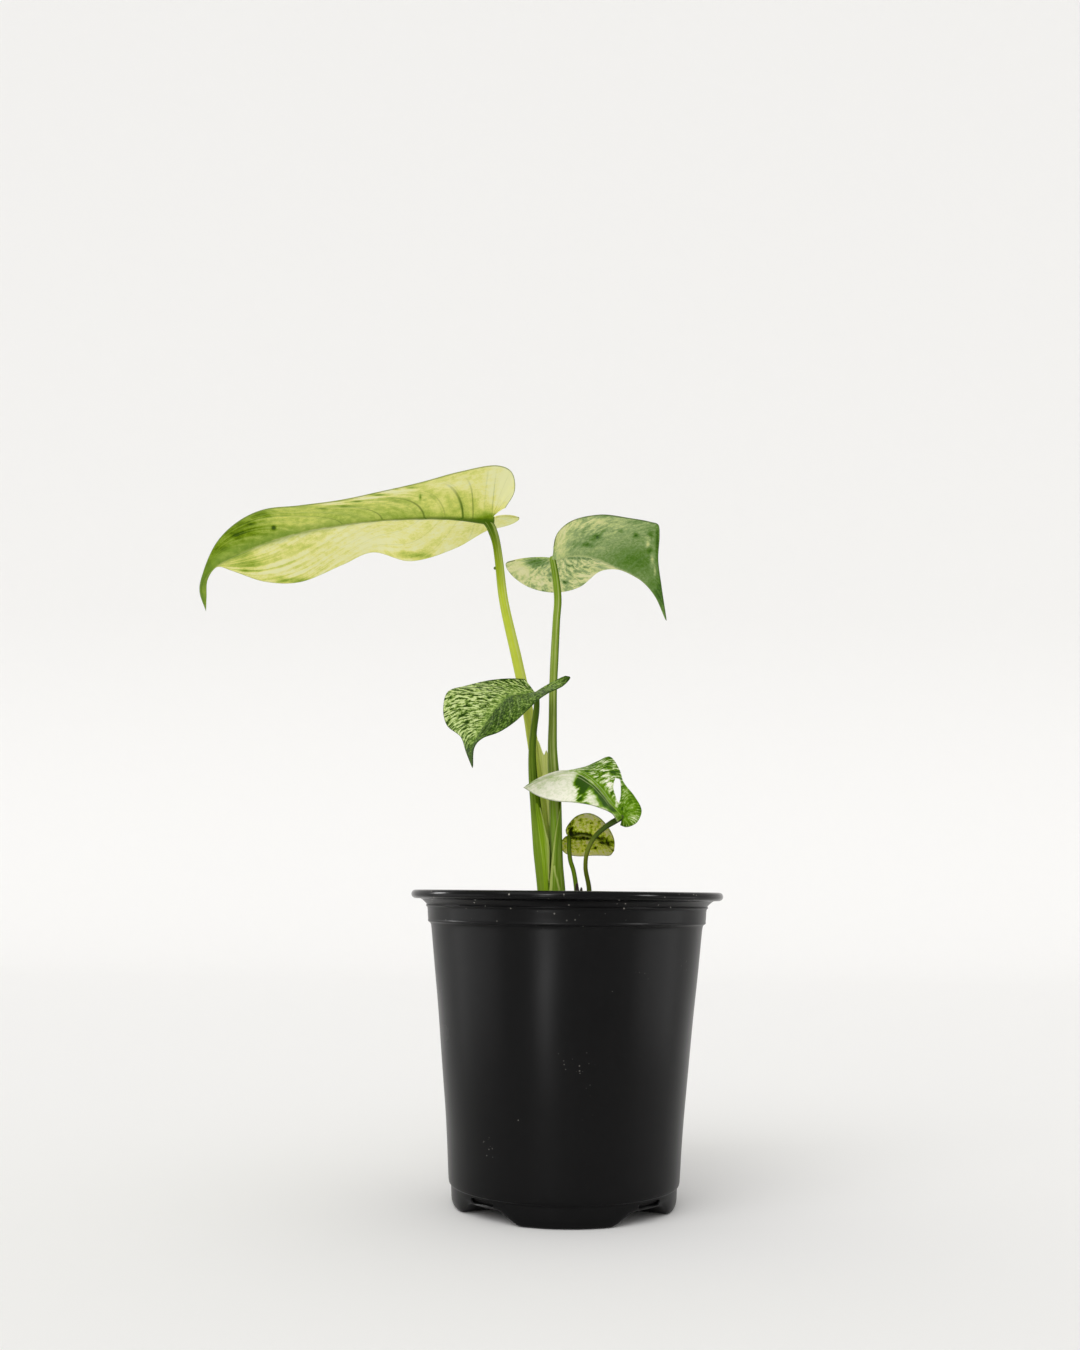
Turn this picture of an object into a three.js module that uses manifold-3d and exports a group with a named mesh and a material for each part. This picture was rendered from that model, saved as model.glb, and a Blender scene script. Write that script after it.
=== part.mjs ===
// A young white monster monstera in a round plastic nursery pot.
// Millimetres, +Z up, standing on z = 0. Lengths below are measured from the pot's axis, with +X to
// the right and +Y away from the viewer; the whole plant is moved at the end so that the origin is
// the middle of its bounding box at floor level.
import * as THREE from 'three';
import { mergeVertices } from 'three/addons/utils/BufferGeometryUtils.js';
import Module from 'manifold-3d';

const wasm = await Module();
wasm.setup();

// Driving dimensions

const GAP = 0.3; // clearance between neighbouring pieces
const SOIL_GAP = 0.35; // clearance of the soil inside the pot, where facets lie oblique to each other
const WELD = 1e-4; // points closer than this are one
const CUT_PAST = 1; // how far a cutting solid reaches past what it cuts

// Pot
const WALL = 1.2;
const RIM_RADIUS = 82.3;
const RIM_TOP = 165.7;
const RIM_UNDERSIDE = 161.2;
const SHOULDER_RADIUS = 73.3; // below the first step
const WALL_TOP_RADIUS = 71.5; // below the second step
const BASE_RADIUS = 59.6;
const FLOOR_UNDERSIDE = 6.6;
const POT_SEGMENTS = 40;
const MOUTH_FLARE = 0.6; // widening of the inside from its last row up to the mouth
const FOOT_COUNT = 4;
const FOOT_ARC_STEPS = 5;
const DRAIN_WIDTH = 9;
const DRAIN_DEPTH = 16;
const DRAIN_BOTTOM = 5.5;
const DRAIN_TOP = 9.8;

// Slightly mounded top of the soil from the wall to the middle: [radius, height].
const SOIL_EDGE = 151.5;
const SOIL_TOP = [
  [71.3, SOIL_EDGE],
  [45, 153],
  [22, 156],
  [0, 157],
];

// Buried crown
const CROWN_RADIUS = 9;
const CROWN_HALF_HEIGHT = 15;
const CROWN_CENTRE = new THREE.Vector3(-7, -1, 131);
const CROWN_SEGMENTS = 12;
const CROWN_RINGS = 8;
const ROOT_SIDES = 6;

// Leaves
const STALK_SIDES = 10;
const WING_SIDES = 6;
const BLADE_EDGE = 0.7; // blade thickness at the margin
const RIB_TAPER = 0.7; // share of the midrib's swelling that is lost from the stalk to the tip
const KEYS_PER_MM = 1000; // fineness at which a blade's surface points are told apart
const HOLE_HALF_DEPTH = 12;

// Outside of the pot from the middle of its floor up to the top of the rim: [radius, height].
const POT_OUTSIDE = [
  [0, FLOOR_UNDERSIDE],
  [57.2, FLOOR_UNDERSIDE],
  [59.0, 7.4],
  [BASE_RADIUS, 9.2],
  [BASE_RADIUS + 0.3, 11.4],
  [61.0, 14.2],
  [63.1, 50],
  [67.5, 103],
  [71.2, 143.5],
  [WALL_TOP_RADIUS, 146.6],
  [72.9, 149.4],
  [SHOULDER_RADIUS, 152],
  [SHOULDER_RADIUS + 0.2, 156.2],
  [74.3, 158.6],
  [76.2, 160.4],
  [77.4, RIM_UNDERSIDE],
  [80.6, RIM_UNDERSIDE],
  [82.0, 162.2],
  [RIM_RADIUS, 163.6],
  [81.7, 165.1],
  [80.4, RIM_TOP],
  [77.2, RIM_TOP],
];

// Inside of the pot's wall from the floor up, the wall's thickness inward of the outside.
const POT_INSIDE = [
  [56.5, FLOOR_UNDERSIDE + WALL],
  [58.3, 9.6],
  [59.7, 14.6],
  [61.9, 50],
  [66.3, 103],
  [70.0, 143.7],
  [71.6, 149.8],
  [72.1, 156.6],
  [74.4, 160.6],
  [75.6, 163.2],
];

// Foot levels from the ground up: [height, inner radius, outer radius, half angle in degrees].
const FOOT_OUTSIDE = [
  [0, 41.5, 57.4, 21],
  [0.8, 40.3, 58.7, 24],
  [3.6, 38.6, 59.5, 30],
  [7.4, 37, BASE_RADIUS, 36],
];
const FOOT_INSIDE = [
  [1.3, 42.4, 56.4, 20.5],
  [4.2, 40.2, 58, 27],
  [8.2, 38.8, 58.2, 33],
];

// Stalk centre lines from the leaf down to the crown: [x, y, z, radius].
const STALKS = {
  petiole_1: [
    [-42, 0, 362.8, 2], [-41, 0, 357.5, 2.3], [-39.5, 0, 350.5, 2.05], [-38, 0, 341, 2.2],
    [-35.3, 1, 320, 2.4], [-27.9, 2, 288.5, 2.7], [-21.6, 3.5, 260.5, 2.85], [-19.1, 4.5, 245, 2.8],
    [-16, 5, 230, 3.3], [-13, 5, 214, 3.75], [-11, 4, 187.5, 4.1], [-9, 3, 163.5, 4.1],
    [-8, 2.5, 139, 3.6],
  ],
  petiole_2: [
    [-9.5, 0, 341.8, 1.6], [-7.5, 0, 330.5, 1.9], [-6.5, 0, 320, 2], [-7.1, 0, 309.5, 1.95],
    [-8, 0, 288, 2.15], [-8.5, -0.5, 272, 2.05], [-8.5, -0.5, 256.5, 2.15],
    [-8.5, -1, 240.5, 2.45], [-7.5, -1.5, 224.5, 3], [-6.5, -2, 206, 3.2], [-5.9, -2, 182, 3.4],
    [-4.5, -2, 163.5, 3.7], [-4, -2, 139, 3.4],
  ],
  petiole_3: [
    [-17, -7.8, 269, 1.3], [-17.2, -7.5, 260.5, 1.6], [-18.5, -6.5, 250, 1.75],
    [-19.2, -5.5, 239.5, 1.9], [-18.7, -4.5, 226.5, 2.3], [-17.1, -4, 211, 2.8],
    [-14.4, -4, 187, 3.7], [-11.8, -4, 163.5, 3.7], [-10.5, -3.5, 139, 3.3],
  ],
  petiole_4: [
    [28, -7.4, 204.6, 1.5], [23.5, -9.5, 202, 1.6], [18.5, -14, 198.5, 1.3],
    [13.5, -16, 193.5, 1.2], [9.9, -17, 186, 1.1], [9.2, -14.5, 178, 1.1],
    [11.4, -10, 165.5, 1.25], [9, -8, 150, 1.4], [0, -4, 134, 1.4],
  ],
  petiole_5: [
    [0.8, -0.1, 194.9, 1], [0.8, -3, 188.5, 1.1], [1.5, -4, 182, 1.15], [3.3, -5, 176, 1.15],
    [4.9, -5, 165.5, 1.2], [5, -4.5, 150, 1.4], [0, -2, 136, 1.4],
  ],
};

// Free tips of the membranes that line two of the sheaths: [x, y, z, radius].
const WINGS = {
  petiole_1: [
    [-16.9, 2.5, 246.5, 0.5], [-15.9, 2.5, 240.5, 1], [-14.5, 2.5, 233, 1.5],
    [-13.7, 3, 222.5, 1.8],
  ],
  petiole_2: [[-12, -0.5, 238.5, 0.6], [-11.5, -0.5, 232, 1.5], [-10, -0.5, 219, 2]],
};

// Thick roots from the crown down into the soil: [x, y, z, radius].
const ROOTS = [
  [[-10, -4, 124, 1.8], [-20, -15, 105, 1.6], [-42, -30, 80, 1.3], [-50, -20, 42, 0.9]],
  [[-4, -4, 124, 1.8], [8, -14, 104, 1.6], [30, -30, 70, 1.3], [38, -28, 34, 0.9]],
  [[-4, 3, 124, 1.8], [6, 12, 100, 1.6], [28, 30, 72, 1.3], [44, 22, 44, 0.9]],
  [[-10, 3, 124, 1.8], [-22, 14, 108, 1.6], [-40, 32, 80, 1.3], [-34, 38, 36, 0.9]],
  [[-7, -1, 120, 2], [-4, 3, 80, 1.6], [-12, -4, 40, 1.3], [2, -6, 18, 0.9]],
];

// Outline of the upright bark chip seen from the front: [x, z].
const CHIP_OUTLINE = [
  [3.9, 153.5], [8.4, 153.5], [8.2, 161], [7.8, 167.2], [7, 168], [6.3, 165.6],
  [5.3, 170.6], [4.2, 169.2], [3.7, 161],
];
const CHIP_FRONT = -12.5;
const CHIP_THICKNESS = 1.8;
const CHIP_BEVEL = 0.01; // depth over which the chip's outline widens to its clearance

// Blades. The midrib runs from the stalk to the tip: [x, y, z]. Each half's margin starts beside the
// notch at the stalk, goes round the basal lobe and on to the tip: [x, y, z, s], where s is the
// fraction of the midrib from which the side vein that ends there starts (0: at the stalk).
// face: roughly where the upper side looks; arch: rise of each half between midrib and margin,
// as a fraction of its width; rib: thickness at the midrib near the stalk.
const BLADES = {
  blade_1: {
    midrib: [
      [-42, 0, 363], [-64, -1, 363.5], [-90.5, -2, 362], [-116.5, -3, 359], [-143, -3, 354],
      [-169.5, -3, 345], [-188.5, -2, 335], [-195, -1, 325.5], [-193, 0, 312],
    ],
    front: [
      [-34.5, -9, 366, 0], [-29.5, -20, 372, 0], [-31, -30, 378.5, 0], [-38, -37, 379.5, 0],
      [-56.5, -44, 374, 0.09], [-76, -47, 367.5, 0.2], [-96, -46, 363, 0.32],
      [-116, -43, 359.5, 0.43], [-137, -38, 358, 0.54], [-157.5, -31, 357.5, 0.64],
      [-173.5, -21, 353, 0.74], [-186.5, -9, 345, 0.83], [-194, -3, 332, 0.9],
      [-196, -2, 322.5, 0.95], [-193, 0, 312, 1],
    ],
    back: [
      [-27, 22, 369, 0], [-36, 33, 367.5, 0], [-46, 37, 366, 0],
      [-64, 43, 357.5, 0.09], [-89.5, 47, 351, 0.2], [-111, 48, 356, 0.31],
      [-127.5, 45, 348, 0.41], [-150, 38, 336.5, 0.53], [-167, 27, 334, 0.64],
      [-182, 13, 336.5, 0.76], [-188.5, 4, 336.5, 0.85], [-192.5, 1, 329, 0.91],
      [-193, 1, 320, 0.96], [-193, 0, 312, 1],
    ],
    face: [0, 0, 1],
    arch: 0.05,
    rib: 1.7,
    steps: { fan: 8, body: 20, across: 4 },
  },
  blade_2: {
    midrib: [
      [-9.5, 0, 342], [1, 8, 346], [11, 15, 347], [26, 23, 343], [39, 28, 338],
      [47.5, 30, 329.5], [54, 30, 315.5],
    ],
    front: [
      [-9, -7, 346.5, 0], [-7, -16, 351.5, 0], [0.5, -25, 355.5, 0], [14.5, -27, 358, 0.16],
      [30, -20, 358, 0.33], [42, -10, 358.5, 0.46], [46, 1, 355, 0.58], [47.5, 13, 345, 0.72],
      [49.5, 22, 333.5, 0.85], [54, 30, 315.5, 1],
    ],
    back: [
      [-30, 18, 345, 0], [-35, 26, 345, 0], [-31.5, 37, 341, 0],
      [-21.5, 46, 336.5, 0], [-7, 53, 335.5, 0.1], [6.5, 56, 339.5, 0.2], [18, 56, 348.5, 0.34],
      [28, 53, 349, 0.48], [40, 47, 341.5, 0.64], [48, 39, 330.5, 0.8], [54, 30, 315.5, 1],
    ],
    face: [0, 0, 1],
    arch: 0.03,
    rib: 1.5,
    steps: { fan: 8, body: 16, across: 4 },
  },
  blade_3: {
    midrib: [
      [-18, -8, 269.5], [-23, -13, 268], [-31, -21, 265.5], [-36.5, -29, 259.5],
      [-41, -36, 252], [-45, -42, 244.5], [-48.5, -46, 236.5], [-48.5, -48, 226],
    ],
    front: [
      [-0.5, -17, 275.5, 0], [-4, -23, 270.5, 0], [-11, -29, 266.5, 0],
      [-16, -36, 262, 0.08], [-22, -45, 255, 0.2], [-28.5, -52, 248, 0.34], [-35.5, -56, 243, 0.5],
      [-43.5, -55, 240, 0.66], [-47.5, -51, 236, 0.82], [-48.5, -48, 226, 1],
    ],
    back: [
      [-23.5, -6, 277, 0], [-30.5, -4, 277.5, 0], [-42, -3, 276.5, 0.13],
      [-55, -5, 273, 0.26], [-63.5, -9, 269.5, 0.38], [-65.5, -16, 260, 0.5],
      [-63, -25, 250, 0.62], [-55, -36, 242.5, 0.76], [-52, -43, 234.5, 0.88],
      [-48.5, -48, 226, 1],
    ],
    face: [-0.3, -0.6, 0.7],
    arch: 0.04,
    rib: 1.4,
    steps: { fan: 8, body: 16, across: 4 },
  },
  blade_4: {
    midrib: [
      [28.5, -8, 204.5], [23, -9, 210.5], [16.5, -9, 219], [10, -9, 225], [3.5, -10, 228],
      [-6.5, -12, 227], [-16, -15, 223], [-23.5, -17, 219],
    ],
    front: [
      [25.5, -12, 202, 0], [22.5, -17, 206, 0], [16, -23, 208.5, 0.17], [10, -26, 210, 0.32],
      [1.5, -27, 211, 0.48], [-6.5, -26, 211.5, 0.64], [-15, -22, 214, 0.8],
      [-23.5, -17, 219, 1],
    ],
    back: [
      [27.5, -7, 200.5, 0], [30.5, -8, 199.5, 0], [34, -7.5, 200.5, 0], [37, -5, 203, 0],
      [39, -1, 209, 0], [35.5, 3, 216.5, 0],
      [29.5, 6, 224.5, 0], [27.5, 8, 231, 0.14], [22.5, 9, 238, 0.26], [16, 8, 235.5, 0.4],
      [9.5, 4, 232, 0.54], [3.5, -2, 229.5, 0.66], [-5.5, -8, 228.5, 0.8], [-16, -14, 224, 0.91],
      [-23.5, -17, 219, 1],
    ],
    face: [0, -0.9, 0.4],
    arch: 0.05,
    rib: 1.3,
    steps: { fan: 7, body: 16, across: 3 },
    // The single split between two side veins, seen from the front: [x, z].
    hole: [
      [25, 226], [23.8, 221], [24.8, 216.5], [26.4, 212.5], [27.5, 215], [28, 222], [27.5, 225.5],
    ],
    holeDepth: 4,
  },
  blade_5: {
    midrib: [[1, 0, 195], [6.5, 1, 196], [13, 2, 195], [19.5, 3, 192], [25, 3, 187.5]],
    front: [
      [-0.5, -2.5, 195.5, 0], [-1, -4, 198, 0], [0.5, -6, 201, 0],
      [4.5, -9, 205, 0.2], [10.5, -10, 206.5, 0.4], [16, -10, 204.5, 0.58],
      [21, -7, 199.5, 0.76], [24.5, -2, 193.5, 0.9], [25, 3, 187.5, 1],
    ],
    back: [
      [-1, 1, 194.5, 0], [-2.5, 3, 193, 0], [-3.5, 6, 190, 0], [-1, 10, 186, 0],
      [6, 13, 184.5, 0.26], [13.5, 14, 185, 0.46], [19.5, 12, 185, 0.66], [23, 8, 185, 0.84],
      [25, 3, 187.5, 1],
    ],
    face: [0, 0.5, 0.85],
    arch: 0.08,
    rib: 1.2,
    steps: { fan: 5, body: 12, across: 3 },
  },
};

// Solids

/** The closed solid bounded by a geometry, whichever way its faces were wound. */
function solidOf(geometry) {
  const bare = geometry.clone();
  bare.deleteAttribute('normal');
  bare.deleteAttribute('uv');
  const merged = mergeVertices(bare, WELD);
  const vertProperties = merged.attributes.position.array;
  const corners = [...merged.index.array];
  const build = () => new wasm.Manifold(
    new wasm.Mesh({ numProp: 3, vertProperties, triVerts: new Uint32Array(corners) }),
  );
  const solid = build();
  if (solid.volume() > 0) return solid;
  for (let i = 0; i < corners.length; i += 3) {
    [corners[i + 1], corners[i + 2]] = [corners[i + 2], corners[i + 1]];
  }
  return build();
}

/** The biggest of the bodies that a cut leaves; the crumbs are dropped. */
function biggest(solid) {
  return solid.decompose().reduce((best, body) => (body.volume() > best.volume() ? body : best));
}

/** A geometry from plain lists of points and triangle corners. */
function geometryOf(points, triangles) {
  const geometry = new THREE.BufferGeometry();
  const numbers = points.flatMap((p) => [p.x, p.y, p.z]);
  geometry.setAttribute('position', new THREE.Float32BufferAttribute(numbers, 3));
  geometry.setIndex(triangles);
  return geometry;
}

/** Flat-shaded geometry of a solid. */
function shown(solid) {
  const { vertProperties, triVerts } = solid.getMesh();
  const indexed = new THREE.BufferGeometry();
  indexed.setAttribute('position', new THREE.BufferAttribute(vertProperties, 3));
  indexed.setIndex(new THREE.BufferAttribute(triVerts, 1));
  const geometry = indexed.toNonIndexed();
  geometry.computeVertexNormals();
  return geometry;
}

/** A solid turned from [radius, height] pairs that start and end on the axis. */
function turned(profile) {
  const points = profile.map(([radius, height]) => new THREE.Vector2(radius, height));
  const geometry = new THREE.LatheGeometry(points, POT_SEGMENTS);
  return solidOf(geometry.rotateX(Math.PI / 2));
}

/** Skins equal rings of points one after another and closes both ends. */
function loft(rings) {
  const size = rings[0].length;
  const triangles = [];
  for (let i = 0; i + 1 < rings.length; i += 1) {
    for (let j = 0; j < size; j += 1) {
      const next = (j + 1) % size;
      const a = i * size + j;
      const b = i * size + next;
      triangles.push(a, b, a + size, b, b + size, a + size);
    }
  }
  const last = (rings.length - 1) * size;
  for (let j = 1; j + 1 < size; j += 1) {
    triangles.push(0, j + 1, j, last, last + j, last + j + 1);
  }
  return solidOf(geometryOf(rings.flat(), triangles));
}

/** A round stalk along [x, y, z, radius] rows, grown on all sides by extra. */
function stalk(rows, sides, extra = 0) {
  const path = new THREE.CatmullRomCurve3(rows.map(([x, y, z]) => new THREE.Vector3(x, y, z)));
  const count = 2 * (rows.length - 1);
  const frames = path.computeFrenetFrames(count, false);
  const rings = [];
  for (let i = 0; i <= count; i += 1) {
    const centre = path.getPointAt(i / count);
    if (i === 0) centre.addScaledVector(frames.tangents[i], -extra);
    if (i === count) centre.addScaledVector(frames.tangents[i], extra);
    const place = path.getUtoTmapping(i / count) * (rows.length - 1);
    const radius = radiusAt(rows, place) + extra;
    rings.push(circle(centre, frames.normals[i], frames.binormals[i], radius, sides));
  }
  return loft(rings);
}

function radiusAt(rows, place) {
  const i = Math.min(Math.floor(place), rows.length - 2);
  return THREE.MathUtils.lerp(rows[i][3], rows[i + 1][3], place - i);
}

function circle(centre, across, up, radius, sides) {
  const ring = [];
  for (let j = 0; j < sides; j += 1) {
    const angle = (2 * Math.PI * j) / sides;
    const point = centre.clone().addScaledVector(across, radius * Math.cos(angle));
    ring.push(point.addScaledVector(up, radius * Math.sin(angle)));
  }
  return ring;
}

// Pot, soil and what is buried in it

/** One foot's arc-shaped lobe, shrunk on all sides by inset and turned to its place. */
function foot(levels, inset, turn) {
  const rings = levels.map(([height, inner, outer, halfAngle], level) => {
    const half = THREE.MathUtils.degToRad(halfAngle) - inset / inner;
    const z = level === 0 ? height + inset : height;
    const outside = arc(outer - inset, turn, half, z);
    const inside = arc(inner + inset, turn, half, z);
    return [...outside, ...inside.reverse()];
  });
  return loft(rings);
}

/** Points along a level arc round the pot's axis, half on each side of the given turn. */
function arc(radius, turn, half, z) {
  const points = [];
  for (let i = 0; i <= FOOT_ARC_STEPS; i += 1) {
    const angle = turn - half + (2 * half * i) / FOOT_ARC_STEPS;
    points.push(new THREE.Vector3(radius * Math.cos(angle), radius * Math.sin(angle), z));
  }
  return points;
}

/** All feet as one list of solids. */
function feet(levels, inset = 0) {
  const list = [];
  for (let i = 0; i < FOOT_COUNT; i += 1) {
    list.push(foot(levels, inset, (2 * Math.PI * i) / FOOT_COUNT));
  }
  return list;
}

/** The space inside the pot, shrunk by inset, with the given rows closing it at the top. */
function potInside(inset, wallRows, topRows) {
  const wall = wallRows.map(([radius, height]) => [radius - inset, height]);
  wall[0][1] += inset;
  const space = turned([[0, wall[0][1]], ...wall, ...topRows]);
  return feet(FOOT_INSIDE, inset).reduce((sum, lobe) => sum.add(lobe), space);
}

/** A drain opening through the corner of wall and floor, between two feet. */
function drain(turn) {
  const box = new THREE.BoxGeometry(DRAIN_DEPTH, DRAIN_WIDTH, DRAIN_TOP - DRAIN_BOTTOM);
  box.translate(BASE_RADIUS, 0, (DRAIN_TOP + DRAIN_BOTTOM) / 2);
  return solidOf(box.rotateZ(turn));
}

function makePot() {
  const body = feet(FOOT_OUTSIDE).reduce(
    (sum, lobe) => sum.add(lobe),
    turned([...POT_OUTSIDE, [0, RIM_TOP]]),
  );
  const mouth = POT_INSIDE[POT_INSIDE.length - 1][0] + MOUTH_FLARE;
  const above = RIM_TOP + CUT_PAST;
  let pot = body.subtract(potInside(0, POT_INSIDE, [[mouth, above], [0, above]]));
  for (let i = 0; i < FOOT_COUNT; i += 1) {
    pot = pot.subtract(drain((2 * Math.PI * (i + 0.5)) / FOOT_COUNT));
  }
  return pot;
}

/** The filling of the pot up to its surface, before anything stands in it. */
function soilBody() {
  const covered = POT_INSIDE.filter(([, height]) => height < SOIL_EDGE);
  return potInside(SOIL_GAP, covered, SOIL_TOP);
}

/** The buried stem with its thick roots, grown on all sides by extra. */
function crown(extra = 0) {
  const ball = new THREE.SphereGeometry(1, CROWN_SEGMENTS, CROWN_RINGS);
  const wide = CROWN_RADIUS + extra;
  ball.rotateX(Math.PI / 2).scale(wide, wide, CROWN_HALF_HEIGHT + extra);
  const { x, y, z } = CROWN_CENTRE;
  return ROOTS.reduce(
    (sum, rows) => sum.add(stalk(rows, ROOT_SIDES, extra)),
    solidOf(ball.translate(x, y, z)),
  );
}

/** The bark chip, its outline pushed backwards from its front and grown on all sides by extra. */
function barkChip(extra = 0) {
  const outline = CHIP_OUTLINE.map(([x, z]) => new THREE.Vector2(x, z));
  const chip = new THREE.ExtrudeGeometry(new THREE.Shape(outline), {
    depth: CHIP_THICKNESS + 2 * extra,
    bevelEnabled: extra > 0,
    bevelSize: extra,
    bevelThickness: CHIP_BEVEL,
    bevelSegments: 1,
  });
  chip.rotateX(Math.PI / 2).translate(0, CHIP_FRONT + CHIP_THICKNESS + extra, 0);
  return solidOf(chip);
}

// Blades

function curveOf(rows) {
  return new THREE.CatmullRomCurve3(rows.map(([x, y, z]) => new THREE.Vector3(x, y, z)));
}

/** Where on the margin (in rows) the side vein from fraction s of the midrib ends. */
function marginPlace(rows, fanEnd, s) {
  let i = fanEnd;
  while (i + 2 < rows.length && rows[i + 1][3] < s) i += 1;
  return i + (s - rows[i][3]) / (rows[i + 1][3] - rows[i][3]);
}

/** The side veins of one half: first the fan round the stalk, then those along the midrib. */
function veinsOf(rows, steps) {
  const fanEnd = rows.filter((row) => row[3] === 0).length - 1;
  const last = rows.length - 1;
  const veins = [];
  for (let i = 0; i < steps.fan; i += 1) {
    veins.push({ s: 0, u: (fanEnd * i) / (steps.fan * last) });
  }
  for (let k = 0; k <= steps.body; k += 1) {
    const s = k / steps.body;
    veins.push({ s, u: marginPlace(rows, fanEnd, s) / last });
  }
  return veins;
}

/** The middle surface of a blade: welded points, their place across and along it, triangles. */
function bladeSurface(blade) {
  const midrib = curveOf(blade.midrib);
  const face = new THREE.Vector3(...blade.face).normalize();
  const surface = { points: [], places: [], triangles: [] };
  const known = new Map();
  const vertex = (point, v, s) => {
    const key = point.toArray().map((c) => Math.round(c * KEYS_PER_MM)).join(' ');
    if (!known.has(key)) {
      known.set(key, surface.points.length);
      surface.points.push(point);
      surface.places.push({ v, s });
    }
    return known.get(key);
  };
  [blade.front, blade.back].forEach((rows, side) => {
    const margin = curveOf(rows);
    const { across } = blade.steps;
    const grid = veinsOf(rows, blade.steps).map(({ s, u }) => {
      const root = midrib.getPointAt(s);
      const chord = margin.getPoint(u).sub(root);
      const rise = blade.arch * chord.length();
      const line = [];
      for (let j = 0; j <= across; j += 1) {
        const v = j / across;
        const point = root.clone().addScaledVector(chord, v);
        line.push(vertex(point.addScaledVector(face, rise * 4 * v * (1 - v)), v, s));
      }
      return line;
    });
    for (let i = 0; i + 1 < grid.length; i += 1) {
      for (let j = 0; j < across; j += 1) {
        const quad = [grid[i][j], grid[i][j + 1], grid[i + 1][j + 1], grid[i + 1][j]];
        if (side === 1) quad.reverse();
        addTriangle(surface.triangles, quad[0], quad[1], quad[2]);
        addTriangle(surface.triangles, quad[0], quad[2], quad[3]);
      }
    }
  });
  return surface;
}

function addTriangle(list, a, b, c) {
  if (a !== b && b !== c && c !== a) list.push([a, b, c]);
}

/** Unit normals at the points of a surface, weighted by the areas of the triangles round them. */
function normalsOf({ points, triangles }) {
  const normals = points.map(() => new THREE.Vector3());
  for (const [a, b, c] of triangles) {
    const one = points[b].clone().sub(points[a]);
    const other = points[c].clone().sub(points[a]);
    const area = one.cross(other);
    [a, b, c].forEach((corner) => normals[corner].add(area));
  }
  return normals.map((normal) => normal.normalize());
}

/** Edges of a surface that have a triangle on one side only. */
function openEdges(triangles) {
  const edges = new Map();
  for (const [a, b, c] of triangles) {
    [[a, b], [b, c], [c, a]].forEach((edge) => edges.set(edge.join(' '), edge));
  }
  return [...edges.values()].filter(([a, b]) => !edges.has(`${b} ${a}`));
}

/** A blade as a thin solid, thickest along its midrib near the stalk. */
function bladeBody(blade) {
  const surface = bladeSurface(blade);
  const count = surface.points.length;
  const normals = normalsOf(surface);
  const half = surface.places.map(({ v, s }) => {
    const swell = (blade.rib - BLADE_EDGE) * (1 - v) ** 2 * (1 - RIB_TAPER * s);
    return (BLADE_EDGE + swell) / 2;
  });
  const shifted = (sign) => surface.points.map(
    (point, i) => point.clone().addScaledVector(normals[i], sign * half[i]),
  );
  const triangles = [];
  for (const [a, b, c] of surface.triangles) {
    triangles.push(a, b, c, a + count, c + count, b + count);
  }
  for (const [a, b] of openEdges(surface.triangles)) {
    triangles.push(b, a, a + count, b, a + count, b + count);
  }
  return solidOf(geometryOf([...shifted(1), ...shifted(-1)], triangles));
}

/** The prism that opens a blade's split, seen from the front as the given outline. */
function splitCut({ hole, holeDepth }) {
  const outline = new THREE.Shape(hole.map(([x, z]) => new THREE.Vector2(x, z)));
  const settings = { depth: 2 * HOLE_HALF_DEPTH, bevelEnabled: false };
  const prism = new THREE.ExtrudeGeometry(outline, settings);
  return solidOf(prism.rotateX(Math.PI / 2).translate(0, holeDepth + HOLE_HALF_DEPTH, 0));
}

// Object

const MATERIALS = {
  black_plastic: { color: 0x17171a, roughness: 0.45 },
  potting_mix: { color: 0x3b2a1e, roughness: 0.95 },
  bark: { color: 0x2c1d14, roughness: 0.9 },
  root: { color: 0xb59b72, roughness: 0.8 },
  stalk: { color: 0x6f9432, roughness: 0.45 },
  leaf: { color: 0x7fa055, roughness: 0.5 },
};

const plant = new THREE.Group();

function place(name, solid, look) {
  const material = new THREE.MeshStandardMaterial({ ...MATERIALS[look], metalness: 0 });
  const mesh = new THREE.Mesh(shown(biggest(solid)), material);
  mesh.name = name;
  plant.add(mesh);
}

/** A stalk with its sheath's membrane tip, if it has one. */
function petiole(name, extra = 0) {
  const body = stalk(STALKS[name], STALK_SIDES, extra);
  return WINGS[name] ? body.add(stalk(WINGS[name], WING_SIDES, extra)) : body;
}

place('pot', makePot(), 'black_plastic');

const petioleNames = Object.keys(STALKS);
const grown = Object.fromEntries(petioleNames.map((name) => [name, petiole(name, GAP)]));

let soil = soilBody().subtract(crown(GAP)).subtract(barkChip(GAP));
let buried = crown();
for (const name of petioleNames) {
  soil = soil.subtract(grown[name]);
  buried = buried.subtract(grown[name]);
}
place('soil', soil, 'potting_mix');
place('crown', buried, 'root');
place('bark_chip', barkChip(), 'bark');

// The sheaths clasp each other: each one gives way to those listed before it.
petioleNames.forEach((name, i) => {
  const before = petioleNames.slice(0, i);
  place(name, before.reduce((solid, other) => solid.subtract(grown[other]), petiole(name)), 'stalk');
});

for (const [name, blade] of Object.entries(BLADES)) {
  let body = bladeBody(blade).subtract(grown[name.replace('blade', 'petiole')]);
  if (blade.hole) body = body.subtract(splitCut(blade));
  place(name, body, 'leaf');
}

const box = new THREE.Box3().setFromObject(plant);
const middle = box.getCenter(new THREE.Vector3());
plant.position.set(-middle.x, -middle.y, -box.min.z);

const object = new THREE.Group();
object.add(plant);

export default object;
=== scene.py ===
"""Looks of a young variegated monstera in a black nursery pot.

Pot, stalks and blades are rebuilt here as fine surfaces with the forms of the solids that they
replace. The skins of the sheaths, the soil's top layer and what lies on it are added, and every
piece gets a procedural finish. Tables are in millimetres from the pot's axis at floor level, +X
to the right and +Y away from the viewer.
"""
import math

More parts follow.
